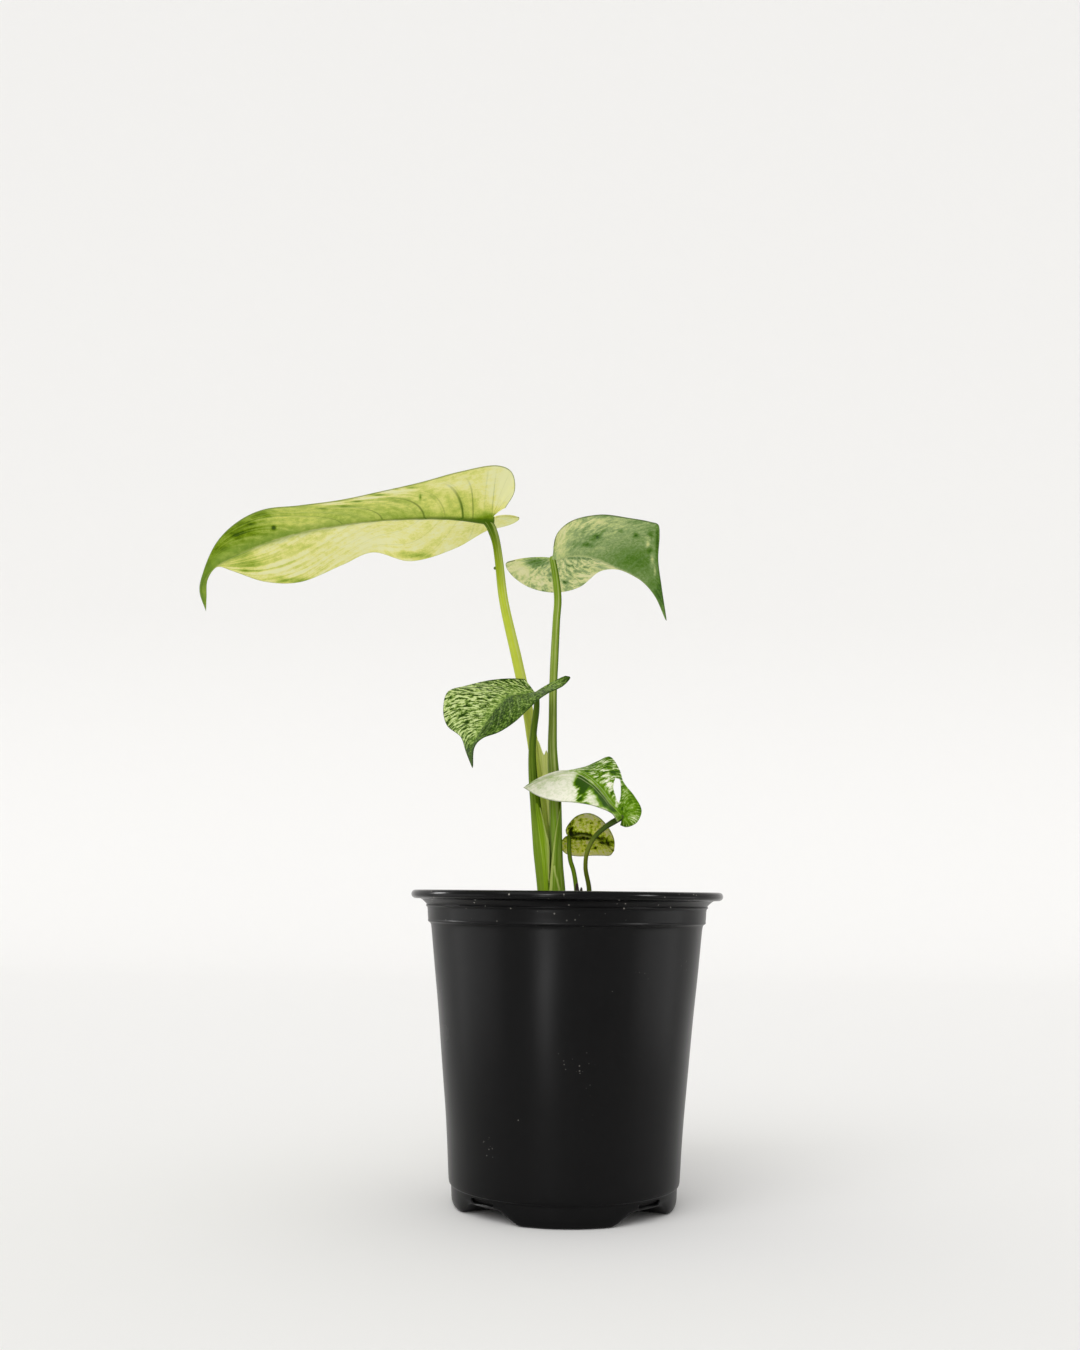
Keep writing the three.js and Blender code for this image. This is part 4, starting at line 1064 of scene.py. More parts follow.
def pot_wall(settings):
    """The pot's skin: a profile turned round the axis, with four feet where it dips to the floor.

    Each point below the wall is mixed from the profile between two feet and the one through a
    foot, by the foot's share at that angle.
    """
    turns = np.arange(POT_TURNS) * 2 * math.pi / POT_TURNS
    sector = 360 / FOOT_COUNT
    off_foot = np.abs((np.degrees(turns) + sector / 2) % sector - sector / 2)
    share = np.interp(off_foot, *zip(*FOOT_SIDE))[:, None, None]

    def mixed(plain, foot):
        plain, foot = np.array(plain), np.array(foot)
        return plain + (foot - plain) * share

    def everywhere(rows):
        return np.repeat(np.array(rows)[None], POT_TURNS, 0)

    loop = np.concatenate([
        mixed(INSIDE_PLAIN, INSIDE_FOOT),
        everywhere(INSIDE_WALL),
        everywhere(POT_OUTSIDE),
        mixed(LOWER_PLAIN, LOWER_FOOT),
    ], 1)
    loop = np.stack([cut_corners(line, CORNER_CUTS) for line in loop])
    radius, height = loop[..., 0], loop[..., 1]
    angle = turns[:, None]
    round_wall = np.stack([np.cos(angle) * radius, np.sin(angle) * radius, height], -1)
    dent = settings.dent / MM * waves(round_wall * (1, 1, 0.6), 70.0, 5, 2)
    free = np.clip(radius / 20 - 1, 0, 1) * np.clip(height / 20, 0, 1)
    round_wall[..., 0] += np.cos(angle) * dent * free
    round_wall[..., 1] += np.sin(angle) * dent * free
    points = round_wall.transpose(1, 0, 2)
    quads = grid_quads(points.shape[0], POT_TURNS, closed=True)
    return points.reshape(-1, 3), quads


def drain_cutter(turn):
    """A box with rounded corners through the pot's bottom edge, between two feet."""
    depth, width, height = DRAIN_SIZE
    angle = full_turn(DRAIN_SIDES)
    side = np.sign(np.cos(angle)) * np.abs(np.cos(angle)) ** DRAIN_ROUNDNESS * width / 2
    rise = np.sign(np.sin(angle)) * np.abs(np.sin(angle)) ** DRAIN_ROUNDNESS * height / 2
    rings = []
    for step, size in ((-depth / 2, 0.0), (-depth / 2, 1.0), (depth / 2, 1.0), (depth / 2, 0.0)):
        reach = np.full(DRAIN_SIDES, BASE_RADIUS + step)
        rings.append(np.stack([reach, side * size, DRAIN_HEIGHT + rise * size], 1))
    points = np.concatenate(rings)
    cos, sin = math.cos(turn), math.sin(turn)
    points[:, :2] = points[:, :2] @ np.array([[cos, sin], [-sin, cos]])
    return points, grid_quads(len(rings), DRAIN_SIDES, closed=True)


def stalk_surface(rows, along=260, around=48):
    """A stalk's skin along its centre line, with rounded closed ends.

    Each ring lies across the line; turn 0 looks to the front. The radius has a shallow channel
    on the side away from the viewer and fine lengthwise ribs.
    """
    rows = np.array(rows, float)
    u = np.linspace(0, 1, 401)
    run = run_length(catmull_rom(rows[:, :3], u))
    share = np.linspace(0, 1, along)
    at = np.interp(share * run[-1], run, u)
    centre = catmull_rom(rows[:, :3], at)
    radius = np.interp(at * (len(rows) - 1), np.arange(len(rows)), rows[:, 3])
    kernel = np.hanning(13)[1:-1]
    padded = np.pad(radius, 5, mode="edge")
    radius = np.convolve(padded, kernel / kernel.sum(), mode="valid")
    tangent = np.gradient(centre, axis=0)
    tangent /= np.linalg.norm(tangent, axis=1, keepdims=True)
    front = np.array([0.0, -1.0, 0.0]) - tangent * -tangent[:, 1:2]
    front /= np.linalg.norm(front, axis=1, keepdims=True)
    right = np.cross(front, tangent)
    turn = np.linspace(-math.pi, math.pi, around, endpoint=False)
    ribs = 0.035 * np.cos(9 * turn) + 0.02 * np.cos(17 * turn + 1)
    channel = -0.10 * np.exp(-((np.abs(turn) - math.pi) / 0.35) ** 2)
    shape = radius[:, None] * (1 + ribs * 0.6 + channel)
    ring = np.cos(turn)[None, :, None] * front[:, None] + np.sin(turn)[None, :, None] * right[:, None]
    points = centre[:, None] + ring * shape[..., None]
    # Two more rings and a point round each end off.
    caps = []
    for end, way in ((0, -1.0), (-1, 1.0)):
        steps = [(0.45, 0.9), (0.8, 0.6), (0.95, 0.0)]
        cap = [centre[end] + ring[end] * (shape[end] * size)[:, None]
               + tangent[end] * way * radius[end] * rise for rise, size in steps]
        caps.append(np.stack(cap[::-1] if end == 0 else cap))
    points = np.concatenate([caps[0], points, caps[1]])
    count = len(points)
    place = np.clip((np.arange(count) - 3) / (along - 1), 0, 1)
    values = {
        "along": np.repeat(place, around),
        "length": np.repeat(place * run[-1], around),
        "turn": np.tile(np.abs(turn), count),
        "side": np.tile(np.sin(turn), count),
    }
    quads = grid_quads(count, around, closed=True)[:, ::-1]
    return points.reshape(-1, 3), quads, values


def sheet_between(left, right, mouth, bulge, thickness=0.6, along=90, wide=28):
    """A thin closed sheet stretched between a left and a right line, top to bottom.

    The sheet stands out towards the viewer by a parabola, starts further down the lines where the
    mouth says so, and thins to nothing at all four of its borders.
    """
    t = np.linspace(0, 1, wide)
    start = np.interp(t, *zip(*mouth))
    a = start + (1 - start) * np.linspace(0, 1, along)[:, None]
    left_line = catmull_rom(left, a.ravel()).reshape(along, wide, 3)
    right_line = catmull_rom(right, a.ravel()).reshape(along, wide, 3)
    middle = left_line + (right_line - left_line) * t[:, None]
    middle[..., 1] -= bulge * 4 * t * (1 - t)
    rows = np.linspace(0, 1, along)[:, None]
    at_sides = np.clip(12 * t * (1 - t), 0, 1) ** 0.5
    at_ends = np.clip(30 * rows * (1 - rows), 0, 1) ** 0.5
    half = thickness / 2 * at_sides * at_ends
    ahead, behind = middle.copy(), middle.copy()
    ahead[..., 1] -= half
    behind[..., 1] += half
    quads = grid_quads(along, wide)
    points = np.concatenate([ahead.reshape(-1, 3), behind.reshape(-1, 3)])
    faces = np.concatenate([quads[:, ::-1], quads + along * wide])
    values = {
        "across": np.broadcast_to(t, (along, wide)),
        "length": middle[..., 2],
    }
    return points, faces, {key: np.tile(np.ravel(value), 2) for key, value in values.items()}


def with_scar(points, quads, values):
    """The first stalk's skin with the scar added."""
    lump, faces = pebble()
    lump = lump * SCAR_RADIUS + np.array(SCAR_PLACE)
    values = {key: np.append(value, np.zeros(len(lump))) for key, value in values.items()}
    return np.concatenate([points, lump]), np.concatenate([quads, faces + len(points)]), values


def paleness(sheath, points, across):
    """How pale a sheath is at its points: along its free border and along its crease."""
    strength, width = PALE_RIM
    free = sheath["free"]
    off = 1.0 if free is None else np.abs(across - free)
    pale = strength * np.exp(-((off / width) ** 2)) + np.zeros(len(points))
    if "crease" in sheath:
        strength, width = PALE_CREASE
        (across_low, low), (across_high, high) = sheath["crease"]
        crease = np.interp(points[:, 2], (low, high), (across_low, across_high))
        near = np.exp(-(((across - crease) / width) ** 2))
        pale += strength * near * (points[:, 2] < high)
    return pale


def blade_half(blade, half, rows, across):
    """Middle surface of one half of a blade, and the length of each side vein.

    Each side vein runs straight from its root on the midrib to its end on the margin, and is
    raised towards the blade's face by a parabola that is 0 at both ends.
    """
    margin = np.array(blade[half], float)
    fan, body = rows
    fan_end = int((margin[:, 3] == 0).sum()) - 1
    last = len(margin) - 1
    s_body = np.linspace(0, 1, body + 1)
    u_body = np.interp(s_body, margin[fan_end:, 3], np.arange(fan_end, last + 1))
    s = np.concatenate([np.zeros(fan), s_body])
    ends = catmull_rom(margin[:, :3], np.concatenate([fan_end * np.arange(fan) / fan, u_body]) / last)
    roots = along_curve(blade["midrib"], s)
    chord = ends - roots
    length = np.linalg.norm(chord, axis=1)
    face = np.array(blade["face"], float)
    face /= np.linalg.norm(face)
    points = roots[:, None] + chord[:, None] * across[:, None]
    rise = blade["arch"] * length[:, None] * 4 * across * (1 - across)
    return points + face * rise[..., None], s, length, run_length(ends)


def spotted(fields, half, points):
    """A field over half a blade: the half's level plus its soft round spots.

    A spot's place is given on the upright plane through the pot's axis, and lies on the blade
    where the line from the front station through that point meets it. It is fixed there.
    """
    level, *spots = fields[half]
    field = np.full(points.shape[:-1], float(level))
    nearer = STATION_DISTANCE / (STATION_DISTANCE + points[..., 1])
    seen_x = STATION_OFFSET + (points[..., 0] - STATION_OFFSET) * nearer
    seen_z = STATION_HEIGHT + (points[..., 2] - STATION_HEIGHT) * nearer
    for x, z, reach_x, reach_z, amount in spots:
        far = ((seen_x - x) / reach_x) ** 2 + ((seen_z - z) / reach_z) ** 2
        field += amount * np.exp(-far)
    return field


def blade_surface(blade, look, settings):
    """A blade's closed skin: its middle surface pushed up and down by half its thickness.

    The thickness falls to nothing at the margin like a quarter ellipse, the midrib stands out
    below, most of all at the stalk, and is a shallow groove above, and the skin is quilted softly
    between side veins.
    """
    even = np.linspace(0, 1 - EDGE_STEPS[0], blade["columns"])
    across = np.concatenate([even, 1 - EDGE_STEPS[1:]])
    halves = {half: blade_half(blade, half, blade["rows"], across) for half in ("back", "front")}
    back, s, back_length, back_run = halves["back"]
    front, _, front_length, front_run = halves["front"]
    middle = np.concatenate([back[:, ::-1], front[:, 1:]], 1)
    rows, wide = middle.shape[:2]
    v = np.concatenate([across[::-1], across[1:]])
    sign = np.concatenate([-np.ones(len(across)), np.ones(len(across) - 1)])
    length = np.where(sign < 0, back_length[:, None], front_length[:, None])
    run = np.where(sign < 0, back_run[:, None], front_run[:, None])
    out = v * length
    bend = np.interp(run / run[-1], *zip(*look["bend"]))
    bend = np.where((sign < 0) & look["swept_back"], -3 * bend, bend)
    vein = run - bend * v**1.6
    edge = (1 - v) * length

    kept, stands_for = weld(middle.reshape(-1, 3), 1e-4)
    flat = middle.reshape(-1, 3)[kept]
    quads = grid_quads(rows, wide)
    normals = surface_normals(flat, stands_for[quads])[stands_for].reshape(rows, wide, 3)
    if (normals @ np.array(blade["face"], float)).mean() < 0:
        normals = -normals
        quads = quads[:, ::-1]

    spacing = look["veins"][0]
    near_margin, near_rib = QUILT_FADE
    quilt = np.cos(2 * math.pi * vein / spacing)
    quilt *= np.clip(edge / near_margin, 0, 1)
    quilt *= np.clip(out / near_rib, 0, 1)
    size = min(1.0, back_length.max() / FULL_QUILT)
    middle = middle - normals * (settings.quilt / MM * size * quilt)[..., None]
    taper = 1 - RIB_TAPER * s[:, None]
    rib = np.exp(-((out / (RIB_WIDTH * blade["rib"] / RIB_THICKEST)) ** 2)) * taper
    thick = np.sqrt(1 - np.clip(1 - edge / THIN_EDGE, 0, 1) ** 2)
    ends = np.sqrt(np.clip((1 - s) * back_run[-1] / TIP_LENGTH, 0, 1))[:, None]
    half_thick = settings.thickness / MM / 2 * thick * ends
    rise, wide_rise, share = blade["swell"]
    swell = rise * np.exp(-((out / wide_rise) ** 2) - (s[:, None] / share) ** 1.3)
    fan = max(int((s == 0).sum()) - 1, 1)
    shoulder = np.sin(np.clip(np.arange(rows) / fan, 0, 1) * math.pi / 2)[:, None]
    swell, rib = swell * shoulder, rib * shoulder
    below = half_thick + ((blade["rib"] - RIB_FLOOR) * RIB_SHARE * rib + swell) * thick * ends
    above = half_thick - GROOVE_DEPTH * rib * thick * ends
    top = middle + normals * above[..., None]
    bottom = middle - normals * below[..., None]

    parts = {"back": middle[:, :len(across)], "front": middle[:, len(across):]}
    fields = {
        key: np.concatenate([spotted(look[key], half, part) for half, part in parts.items()], 1)
        for key in ("green", "fleck")
    }
    fields["fleck"] = np.maximum(fields["fleck"], 0)
    points = np.concatenate([top.reshape(-1, 3), bottom.reshape(-1, 3)])
    count = rows * wide
    j = np.arange(wide - 1)
    wall = np.stack([j, j + 1, count + j + 1, count + j], 1)
    if quads[0, 0] == 0 and quads[0, 1] == 1:
        wall = wall[:, ::-1]
    faces = np.concatenate([quads, quads[:, ::-1] + count, wall])
    values = {
        "vein": np.broadcast_to(vein, (rows, wide)),
        "out": out * sign,
        "edge": edge,
        "taper": np.broadcast_to(taper, (rows, wide)),
        **fields,
    }
    values = {key: np.tile(np.ravel(value), 2) for key, value in values.items()}
    values["under"] = np.repeat([0.0, 1.0], count)
    return points, faces, values


def prism(outline, near, far, steps=48):
    """A closed prism from y near to y far with the rounded outline seen from the front."""
    outline = np.array(outline + outline[:1], float)
    turns = catmull_rom(outline, np.linspace(0, 1, steps, endpoint=False))
    centre = turns.mean(0)
    rings = []
    for y, size in ((near, 0.0), (near, 1.0), (far, 1.0), (far, 0.0)):
        flat = centre + (turns - centre) * size
        rings.append(np.stack([flat[:, 0], np.full(steps, y), flat[:, 1]], 1))
    return np.concatenate(rings), grid_quads(len(rings), steps, closed=True)[:, ::-1]


def soil_surface():
    """The soil's top layer: a disc whose height is the mound plus crumbly relief, closed below."""
    rings = np.linspace(0, SOIL_RADIUS, SOIL_RINGS)
    turns = full_turn(SOIL_TURNS)
    radius, angle = np.meshgrid(rings, turns, indexing="ij")
    flat = np.stack([radius * np.cos(angle), radius * np.sin(angle)], -1)
    height = np.interp(radius, *zip(*SOIL_TOP))
    relief = 0.9 * waves(flat, 22.0, 11, 2) + 0.7 * waves(flat, 5.0, 12, 3)
    off_wall = np.clip((SOIL_RADIUS - radius) / 4, 0, 1)
    top = np.concatenate([flat, (height + relief * (0.4 + 0.6 * off_wall))[..., None]], -1)
    bottom = top[::-1].copy()
    bottom[..., 2] = height[::-1] - SOIL_DEPTH
    points = np.concatenate([top, bottom]).reshape(-1, 3)
    return points, grid_quads(2 * SOIL_RINGS, SOIL_TURNS, closed=True)[:, ::-1]


def soil_height(x, y):
    """Height of the soil's mound at places on it."""
    return np.interp(np.hypot(x, y), *zip(*SOIL_TOP))


def pebble():
    """A small closed ball as points and quads: its first and last rows are its two ends."""
    lift = np.linspace(-math.pi / 2, math.pi / 2, PEBBLE_SIDES)
    turn = full_turn(PEBBLE_SIDES)
    lift, turn = np.meshgrid(lift, turn, indexing="ij")
    points = np.stack([np.cos(lift) * np.cos(turn), np.cos(lift) * np.sin(turn), np.sin(lift)], -1)
    return points.reshape(-1, 3), grid_quads(PEBBLE_SIDES, PEBBLE_SIDES, closed=True)


def turned_at_random(rng, count):
    """Random turns as an array of 3 by 3 matrices, from random unit quaternions."""
    q = rng.normal(size=(count, 4))
    q /= np.linalg.norm(q, axis=1, keepdims=True)
    w, x, y, z = q.T
    return np.stack([
        np.stack([1 - 2 * (y * y + z * z), 2 * (x * y - z * w), 2 * (x * z + y * w)], -1),
        np.stack([2 * (x * y + z * w), 1 - 2 * (x * x + z * z), 2 * (y * z - x * w)], -1),
        np.stack([2 * (x * z - y * w), 2 * (y * z + x * w), 1 - 2 * (x * x + y * y)], -1),
    ], 1)


def scattered(seed, centres, sizes, flatness, roughness=0.28):
    """Many small lumps: pebbles with knocked-about points, each stretched, turned and placed."""
    rng = np.random.default_rng(seed)
    count = len(centres)
    base, quads = pebble()
    knocked = base[None] * (1 + roughness * rng.uniform(-1, 1, (count, len(base), 1)))
    knocked[:, :PEBBLE_SIDES] = knocked[:, :1]
    knocked[:, -PEBBLE_SIDES:] = knocked[:, -1:]
    stretch = np.stack([np.ones(count), rng.uniform(0.5, 0.9, count), np.full(count, flatness)], 1)
    lumps = knocked * (stretch * sizes[:, None])[:, None]
    lumps = np.einsum("nij,nkj->nki", turned_at_random(rng, count), lumps)
    points = (lumps + centres[:, None]).reshape(-1, 3)
    faces = (quads[None] + (np.arange(count) * len(base))[:, None, None]).reshape(-1, 4)
    return points, faces


def on_soil(seed, count, reach, lift, clear):
    """Random places on the soil, none of them within clear of where the stalks rise."""
    rng = np.random.default_rng(seed)
    radius = reach * np.sqrt(rng.uniform(0, 1, count * 2))
    turn = rng.uniform(0, 2 * math.pi, count * 2)
    x, y = radius * np.cos(turn), radius * np.sin(turn)
    free = np.hypot(x - STALK_FOOT[0], y - STALK_FOOT[1]) > clear
    x, y = x[free][:count], y[free][:count]
    return np.stack([x, y, soil_height(x, y) + lift], 1)


def strew(name, slot, count, rng, finish):
    """One kind of small lumps at random places on the soil, as one piece."""
    seed, reach, lift, clear, flatness, (least, more, power) = STREWN[name]
    places = on_soil(seed, count, reach, lift, clear)
    sizes = least + more * rng.uniform(0, 1, len(places)) ** power
    lumps = scattered(seed + 1, places, sizes, flatness)
    belongs(new_piece(name, *lumps, finish, smooth=False), slot)


# Settings


class PotSettings(bpy.types.PropertyGroup):
    """Sizes and colours of the pot."""

    colour: FloatVectorProperty(
        name="Plastic", description="Colour of the plastic", subtype="COLOR", size=3,
        min=0.0, max=1.0, default=(0.0030, 0.0030, 0.0032),
    )
    roughness: FloatProperty(
        name="Roughness", description="How dull the plastic is", subtype="FACTOR",
        min=0.0, max=1.0, default=0.3,
    )
    gloss: FloatProperty(
        name="Gloss", description="Strength of the reflections", subtype="FACTOR",
        min=0.0, max=1.0, default=0.11,
    )
    dent: FloatProperty(
        name="Dents", description="Depth of the soft dents in the wall", unit="LENGTH",
        min=0.0, max=0.002, default=0.00018, precision=5,
    )


class LeafSettings(bpy.types.PropertyGroup):
    """Sizes and finish of the blades."""

    thickness: FloatProperty(
        name="Thickness", description="Thickness of a blade away from its midrib", unit="LENGTH",
        min=0.0003, max=0.002, default=0.0006, precision=5,
    )
    quilt: FloatProperty(
        name="Quilting", description="Depth of the valleys along the side veins", unit="LENGTH",
        min=0.0, max=0.002, default=0.00022, precision=5,
    )
    brightness: FloatProperty(
        name="Brightness", description="Gain on the colours of the leaf skin",
        min=0.2, max=2.0, default=1.14,
    )
    roughness: FloatProperty(
        name="Roughness", description="How dull the leaf skin is", subtype="FACTOR",
        min=0.0, max=1.0, default=0.48,
    )
    gloss: FloatProperty(
        name="Gloss", description="Strength of the reflections", subtype="FACTOR",
        min=0.0, max=1.0, default=0.05,
    )


class SoilSettings(bpy.types.PropertyGroup):
    """What lies on the soil."""

    chips: IntProperty(name="Bark chips", description="Number of bark chips", min=0, default=420)
    perlite: IntProperty(name="Perlite", description="Number of white grains", min=0, default=260)
    crumbs: IntProperty(name="Crumbs", description="Number of small crumbs", min=0, default=1500)


class StageSettings(bpy.types.PropertyGroup):
    """Floor, light and camera."""

    floor: FloatVectorProperty(
        name="Floor", description="Colour of floor and backdrop", subtype="COLOR", size=3,
        min=0.0, max=1.0, default=(0.89, 0.885, 0.875),
    )
    daylight: FloatProperty(
        name="Daylight", description="Brightness of the even light from all sides",
        min=0.0, default=0.74,
    )
    window: FloatProperty(
        name="Window", description="Brightness of the soft light from the left front",
        min=0.0, default=1.0,
    )
    highlights: FloatProperty(
        name="Highlights", description="Brightness of the soft strips that the pot mirrors",
        min=0.0, default=1.0,
    )


# Operators

STALK_SLOTS = {"petiole_1": "stalk_lime", "petiole_4": "stalk_dark", "petiole_5": "stalk_dark"}
BLADE_SLOTS = {
    "blade_1": "leaf_cream", "blade_2": "leaf_green", "blade_3": "leaf_green",
    "blade_4": "leaf_white", "blade_5": "leaf_olive",
}


class MONSTERA_OT_pot(bpy.types.Operator):
    """Build the nursery pot in place of its solid"""

    bl_idname = "monstera.pot"
    bl_label = "Pot"

    def execute(self, context):
        settings = context.scene.monstera_pot
        finish = plastic_finish(settings)
        points, quads = pot_wall(settings)
        pot = new_piece("nursery_pot", points, quads, finish, {"height": points[:, 2]})
        cutters = []
        for i in range(FOOT_COUNT):
            shape = drain_cutter(2 * math.pi * (i + 0.5) / FOOT_COUNT + DRAIN_TURN)
            cutters.append(new_piece("drain_cutter", *shape, finish))
        cut_away(pot, cutters)
        belongs(pot, "pot_plastic", "pot")
        return {"FINISHED"}


class MONSTERA_OT_soil(bpy.types.Operator):
    """Finish the soil and build its crumbly top layer with bark and perlite"""

    bl_idname = "monstera.soil"
    bl_label = "Soil"

    def execute(self, context):
        settings = context.scene.monstera_soil
        finish = soil_finish()
        dress("soil", finish)
        belongs(new_piece("soil_top", *soil_surface(), finish), "potting_mix")
        rng = np.random.default_rng(SIZE_SEED)
        bark = bark_finish("bark chips", srgb(44, 30, 20), srgb(134, 98, 66))
        strew("bark_chips", "bark", settings.chips, rng, bark)
        strew("perlite_grains", "potting_mix", settings.perlite, rng, perlite_finish())
        strew("soil_crumbs", "potting_mix", settings.crumbs, rng, finish)
        return {"FINISHED"}


class MONSTERA_OT_buried(bpy.types.Operator):
    """Finish the buried crown and the upright bark chip"""

    bl_idname = "monstera.buried"
    bl_label = "Crown and chip"

    def execute(self, context):
        dress("crown", root_finish())
        dress("bark_chip", bark_finish("dark bark", srgb(22, 16, 12), srgb(62, 44, 32)))
        return {"FINISHED"}


class MONSTERA_OT_stalks(bpy.types.Operator):
    """Build the leaf stalks in place of their solids, and the skins of their sheaths"""

    bl_idname = "monstera.stalks"
    bl_label = "Stalks"

    def execute(self, context):
        for name, rows in STALKS.items():
            finish = stalk_finish(name, STALK_LOOKS[name])
            skin = stalk_surface(rows)
            if name == "petiole_1":
                skin = with_scar(*skin)
            points, quads, values = skin
            piece = new_piece("stalk_" + name[-1], points, quads, finish, values)
            belongs(piece, STALK_SLOTS.get(name, "stalk_green"), name)
        for name, sheath in SHEATHS.items():
            finish = sheath_finish(name, SHEATH_LOOKS[name])
            points, quads, values = sheet_between(
                sheath["left"], sheath["right"], sheath["mouth"], sheath["bulge"]
            )
            values["rim"] = paleness(sheath, points, values["across"])
            piece = new_piece(name, points, quads, finish, values)
            belongs(piece, "stalk_green")
        return {"FINISHED"}


class MONSTERA_OT_blades(bpy.types.Operator):
    """Build the marbled leaf blades in place of their solids"""

    bl_idname = "monstera.blades"
    bl_label = "Blades"

    def execute(self, context):
        settings = context.scene.monstera_leaf
        for name, blade in BLADES.items():
            look = BLADE_LOOKS[name]
            finish = blade_finish(name, look, settings)
            points, quads, values = blade_surface(blade, look, settings)
            piece = new_piece("leaf_" + name[-1], points, quads, finish, values)
            if "hole" in blade:
                shape = prism(blade["hole"], -SPLIT_REACH, SPLIT_REACH)
                cut_away(piece, [new_piece("split_cutter", *shape, finish)])
            belongs(piece, BLADE_SLOTS[name], name)
        return {"FINISHED"}


class MONSTERA_OT_stage(bpy.types.Operator):
    """Set up the floor, the light and the camera"""

    bl_idname = "monstera.stage"
    bl_label = "Stage"

    def execute(self, context):
        settings = context.scene.monstera_stage
        make_floor(settings)
        make_light(settings)
        make_camera()
        return {"FINISHED"}


# Stage

# Front station, from which the markings are laid out and the picture is taken: distance in front
# of the pot's axis, offset and height, in millimetres. Then the camera's roll in degrees, and the
# focal length and the level line of the picture in pixels of its 1080 by 1350 frame.
STATION_DISTANCE = 737.0
STATION_OFFSET = -14.3
STATION_HEIGHT = 164.0
CAMERA_ROLL = 0.6
FOCAL_PIXELS = 1390.0
LEVEL_LINE = 894.0
PICTURE_HEIGHT = 1350.0
SENSOR = 36.0

# The sweep: where the floor starts and ends, radius of its bend, and the backdrop's top and sides.
FLOOR_FRONT = -6000
FLOOR_BACK = 2000
FLOOR_BEND = 900
BACKDROP_TOP = 6000.0
FLOOR_HALF_WIDTH = 14000

# The window's light: how wide it is spread, its tilt from straight down and its turn, in degrees.
WINDOW_SPREAD = 50
WINDOW_TILT = 47
WINDOW_TURN = -28

# Lamps that only the gloss shows: centre, the height on the pot's axis that they face, width and
# height in metres, and watts.
STRIPS = {
    "strip_left": ((-445, -70, 76), 60, (0.4, 0.2), 0.37),
    "strip_middle": ((-124, -432, 35), 60, (0.07, 0.09), 0.22),
    "strip_right": ((440, -90, 74), 60, (0.34, 0.2), 0.36),
    "rim_left": ((-1100, 330, 490), 160, (0.25, 0.3), 5.0),
    "rim_middle": ((-300, -1100, 490), 160, (0.14, 0.3), 3.6),
    "rim_right": ((960, -630, 490), 160, (0.2, 0.3), 5.0),
}


def make_floor(settings):
    """A pale sweep: level floor that curves up into an upright backdrop far behind."""
    finish = Finish("pale floor", 1.0, 0.0)
    finish.shader.inputs["Base Color"].default_value = (*settings.floor, 1.0)
    bend = np.linspace(0, math.pi / 2, 25)[1:]
    profile = [(y, 0.0) for y in np.linspace(FLOOR_FRONT, FLOOR_BACK, 9)]
    profile += [
        (FLOOR_BACK + FLOOR_BEND * math.sin(a), FLOOR_BEND * (1 - math.cos(a))) for a in bend
    ]
    profile += [(FLOOR_BACK + FLOOR_BEND, BACKDROP_TOP)]
    line = np.array(profile)
    wide = np.linspace(-FLOOR_HALF_WIDTH, FLOOR_HALF_WIDTH, 7)
    x, k = np.meshgrid(wide, np.arange(len(line)), indexing="xy")
    points = np.stack([x, line[k, 0], line[k, 1]], -1).reshape(-1, 3)
    floor = new_piece("floor", points, grid_quads(len(line), len(wide))[:, ::-1], finish.material)


def gloss_light(name, centre, target, size, power):
    """A rectangular lamp that faces its target, hidden from the camera and from matt shading.

    Places are in millimetres from the pot's axis.
    """
    lamp = bpy.data.lights.new(name, "AREA")
    lamp.shape = "RECTANGLE"
    lamp.size, lamp.size_y = size
    lamp.energy = power
    holder = bpy.data.objects.new(name, lamp)
    bpy.context.scene.collection.objects.link(holder)
    here = np.array(centre, float) * MM + AXIS
    there = np.array(target, float) * MM + AXIS
    back = (here - there) / np.linalg.norm(here - there)
    right = np.cross([0.0, 0.0, 1.0], back)
    right /= np.linalg.norm(right)
    up = np.cross(back, right)
    place = np.eye(4)
    place[:3, 0], place[:3, 1], place[:3, 2], place[:3, 3] = right, up, back, here
    holder.matrix_world = Matrix(place.tolist())
    holder.visible_camera = False
    holder.visible_diffuse = False


def make_light(settings):
    """Even daylight, one soft sun from the left front and strips that only the gloss shows."""
    world = bpy.data.worlds.new("daylight")
    bpy.context.scene.world = world
    world.use_nodes = True
    background = world.node_tree.nodes["Background"]
    background.inputs["Color"].default_value = (1.0, 0.995, 0.985, 1.0)
    background.inputs["Strength"].default_value = settings.daylight
    sun = bpy.data.lights.new("window", "SUN")
    sun.energy = settings.window
    sun.angle = math.radians(WINDOW_SPREAD)
    holder = bpy.data.objects.new("window", sun)
    bpy.context.scene.collection.objects.link(holder)
    holder.rotation_euler = (math.radians(WINDOW_TILT), 0.0, math.radians(WINDOW_TURN))
    for name, (centre, facing, size, power) in STRIPS.items():
        gloss_light(name, centre, (0, 0, facing), size, power * settings.highlights)
    view = bpy.context.scene.view_settings
    view.view_transform = "Standard"
    view.look = "None"


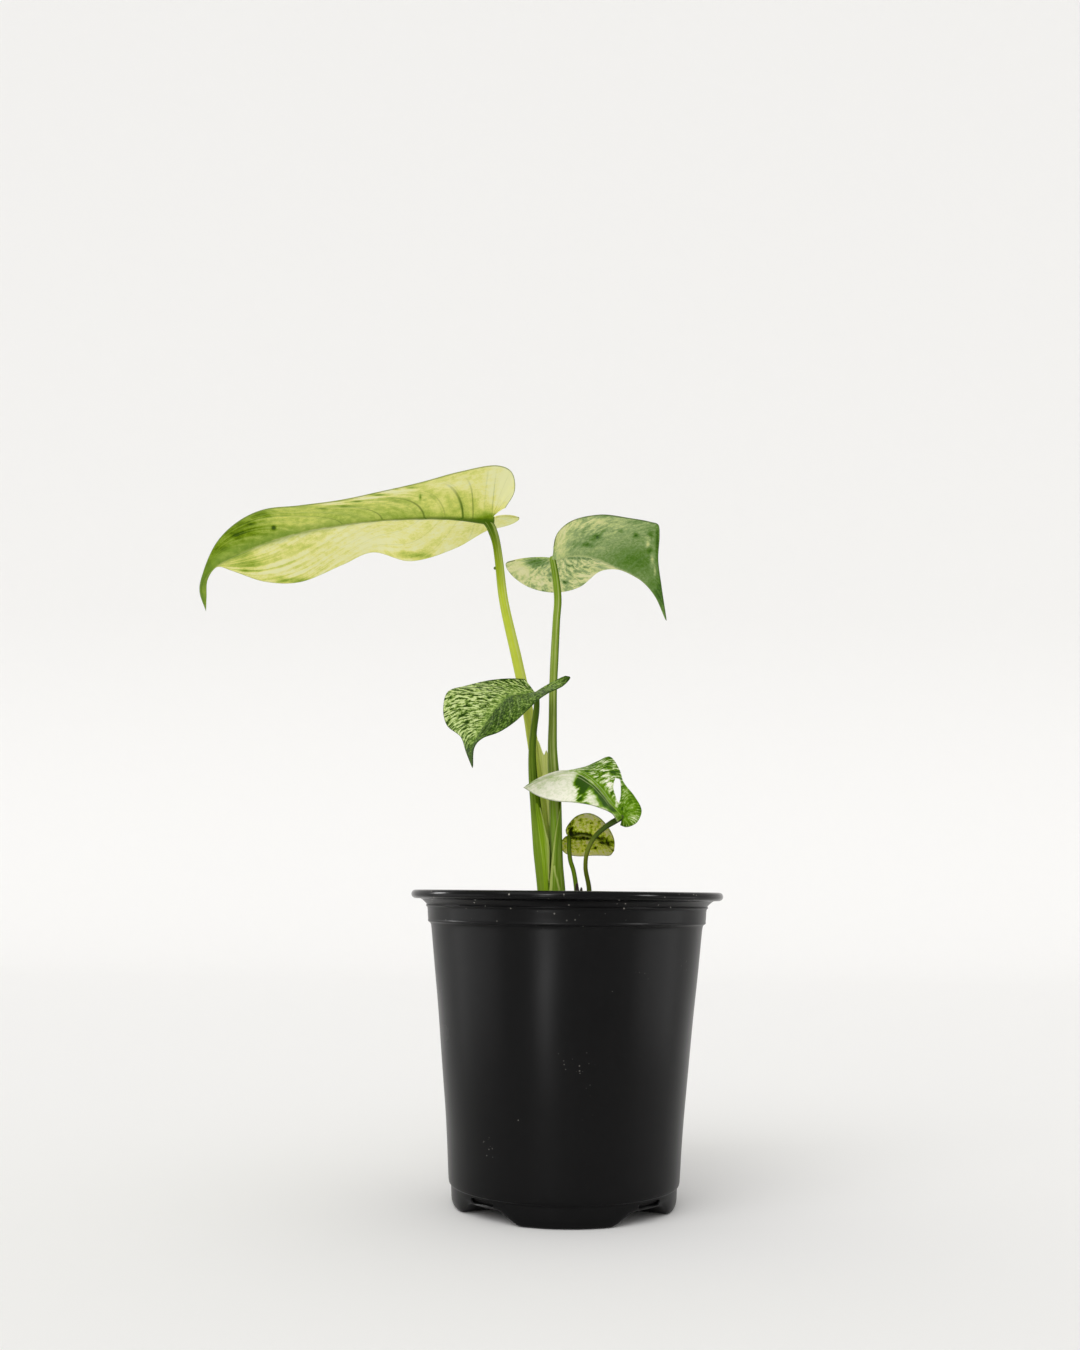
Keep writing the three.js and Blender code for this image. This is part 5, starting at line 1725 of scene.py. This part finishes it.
def make_camera():
    """A level camera with a slight roll, whose frame is shifted up to the object."""
    lens = bpy.data.cameras.new("camera")
    lens.sensor_width = SENSOR
    lens.lens = FOCAL_PIXELS / PICTURE_HEIGHT * SENSOR
    lens.shift_y = (LEVEL_LINE - PICTURE_HEIGHT / 2) / PICTURE_HEIGHT
    lens.clip_end = 50.0
    camera = bpy.data.objects.new("camera", lens)
    bpy.context.scene.collection.objects.link(camera)
    where = np.array([STATION_OFFSET, -STATION_DISTANCE, STATION_HEIGHT]) * MM + AXIS
    level = Matrix.Rotation(math.pi / 2, 4, "X")
    roll = Matrix.Rotation(math.radians(CAMERA_ROLL), 4, "Z")
    camera.matrix_world = Matrix.Translation(where) @ level @ roll
    bpy.context.scene.camera = camera


class MONSTERA_PT_panel(bpy.types.Panel):
    """Lists the settings and the operators"""

    bl_label = "Monstera"
    bl_idname = "MONSTERA_PT_panel"
    bl_space_type = "VIEW_3D"
    bl_region_type = "UI"
    bl_category = "Monstera"

    def draw(self, context):
        for key, group in SETTINGS.items():
            box = self.layout.box()
            for field in group.__annotations__:
                box.prop(getattr(context.scene, key), field)
        for operator in OPERATORS:
            self.layout.operator(operator.bl_idname)


SETTINGS = {
    "monstera_pot": PotSettings,
    "monstera_soil": SoilSettings,
    "monstera_leaf": LeafSettings,
    "monstera_stage": StageSettings,
}
OPERATORS = (
    MONSTERA_OT_pot,
    MONSTERA_OT_soil,
    MONSTERA_OT_buried,
    MONSTERA_OT_stalks,
    MONSTERA_OT_blades,
    MONSTERA_OT_stage,
)


def register():
    for group in (*SETTINGS.values(), *OPERATORS, MONSTERA_PT_panel):
        bpy.utils.register_class(group)
    for key, group in SETTINGS.items():
        setattr(bpy.types.Scene, key, PointerProperty(type=group))


def unregister():
    for key in SETTINGS:
        delattr(bpy.types.Scene, key)
    for group in (MONSTERA_PT_panel, *reversed(OPERATORS), *reversed(SETTINGS.values())):
        bpy.utils.unregister_class(group)


def main():
    """Registers the add-on and builds everything."""
    register()
    bpy.ops.monstera.pot()
    bpy.ops.monstera.soil()
    bpy.ops.monstera.buried()
    bpy.ops.monstera.stalks()
    bpy.ops.monstera.blades()
    bpy.ops.monstera.stage()


if __name__ == "__main__":
    main()
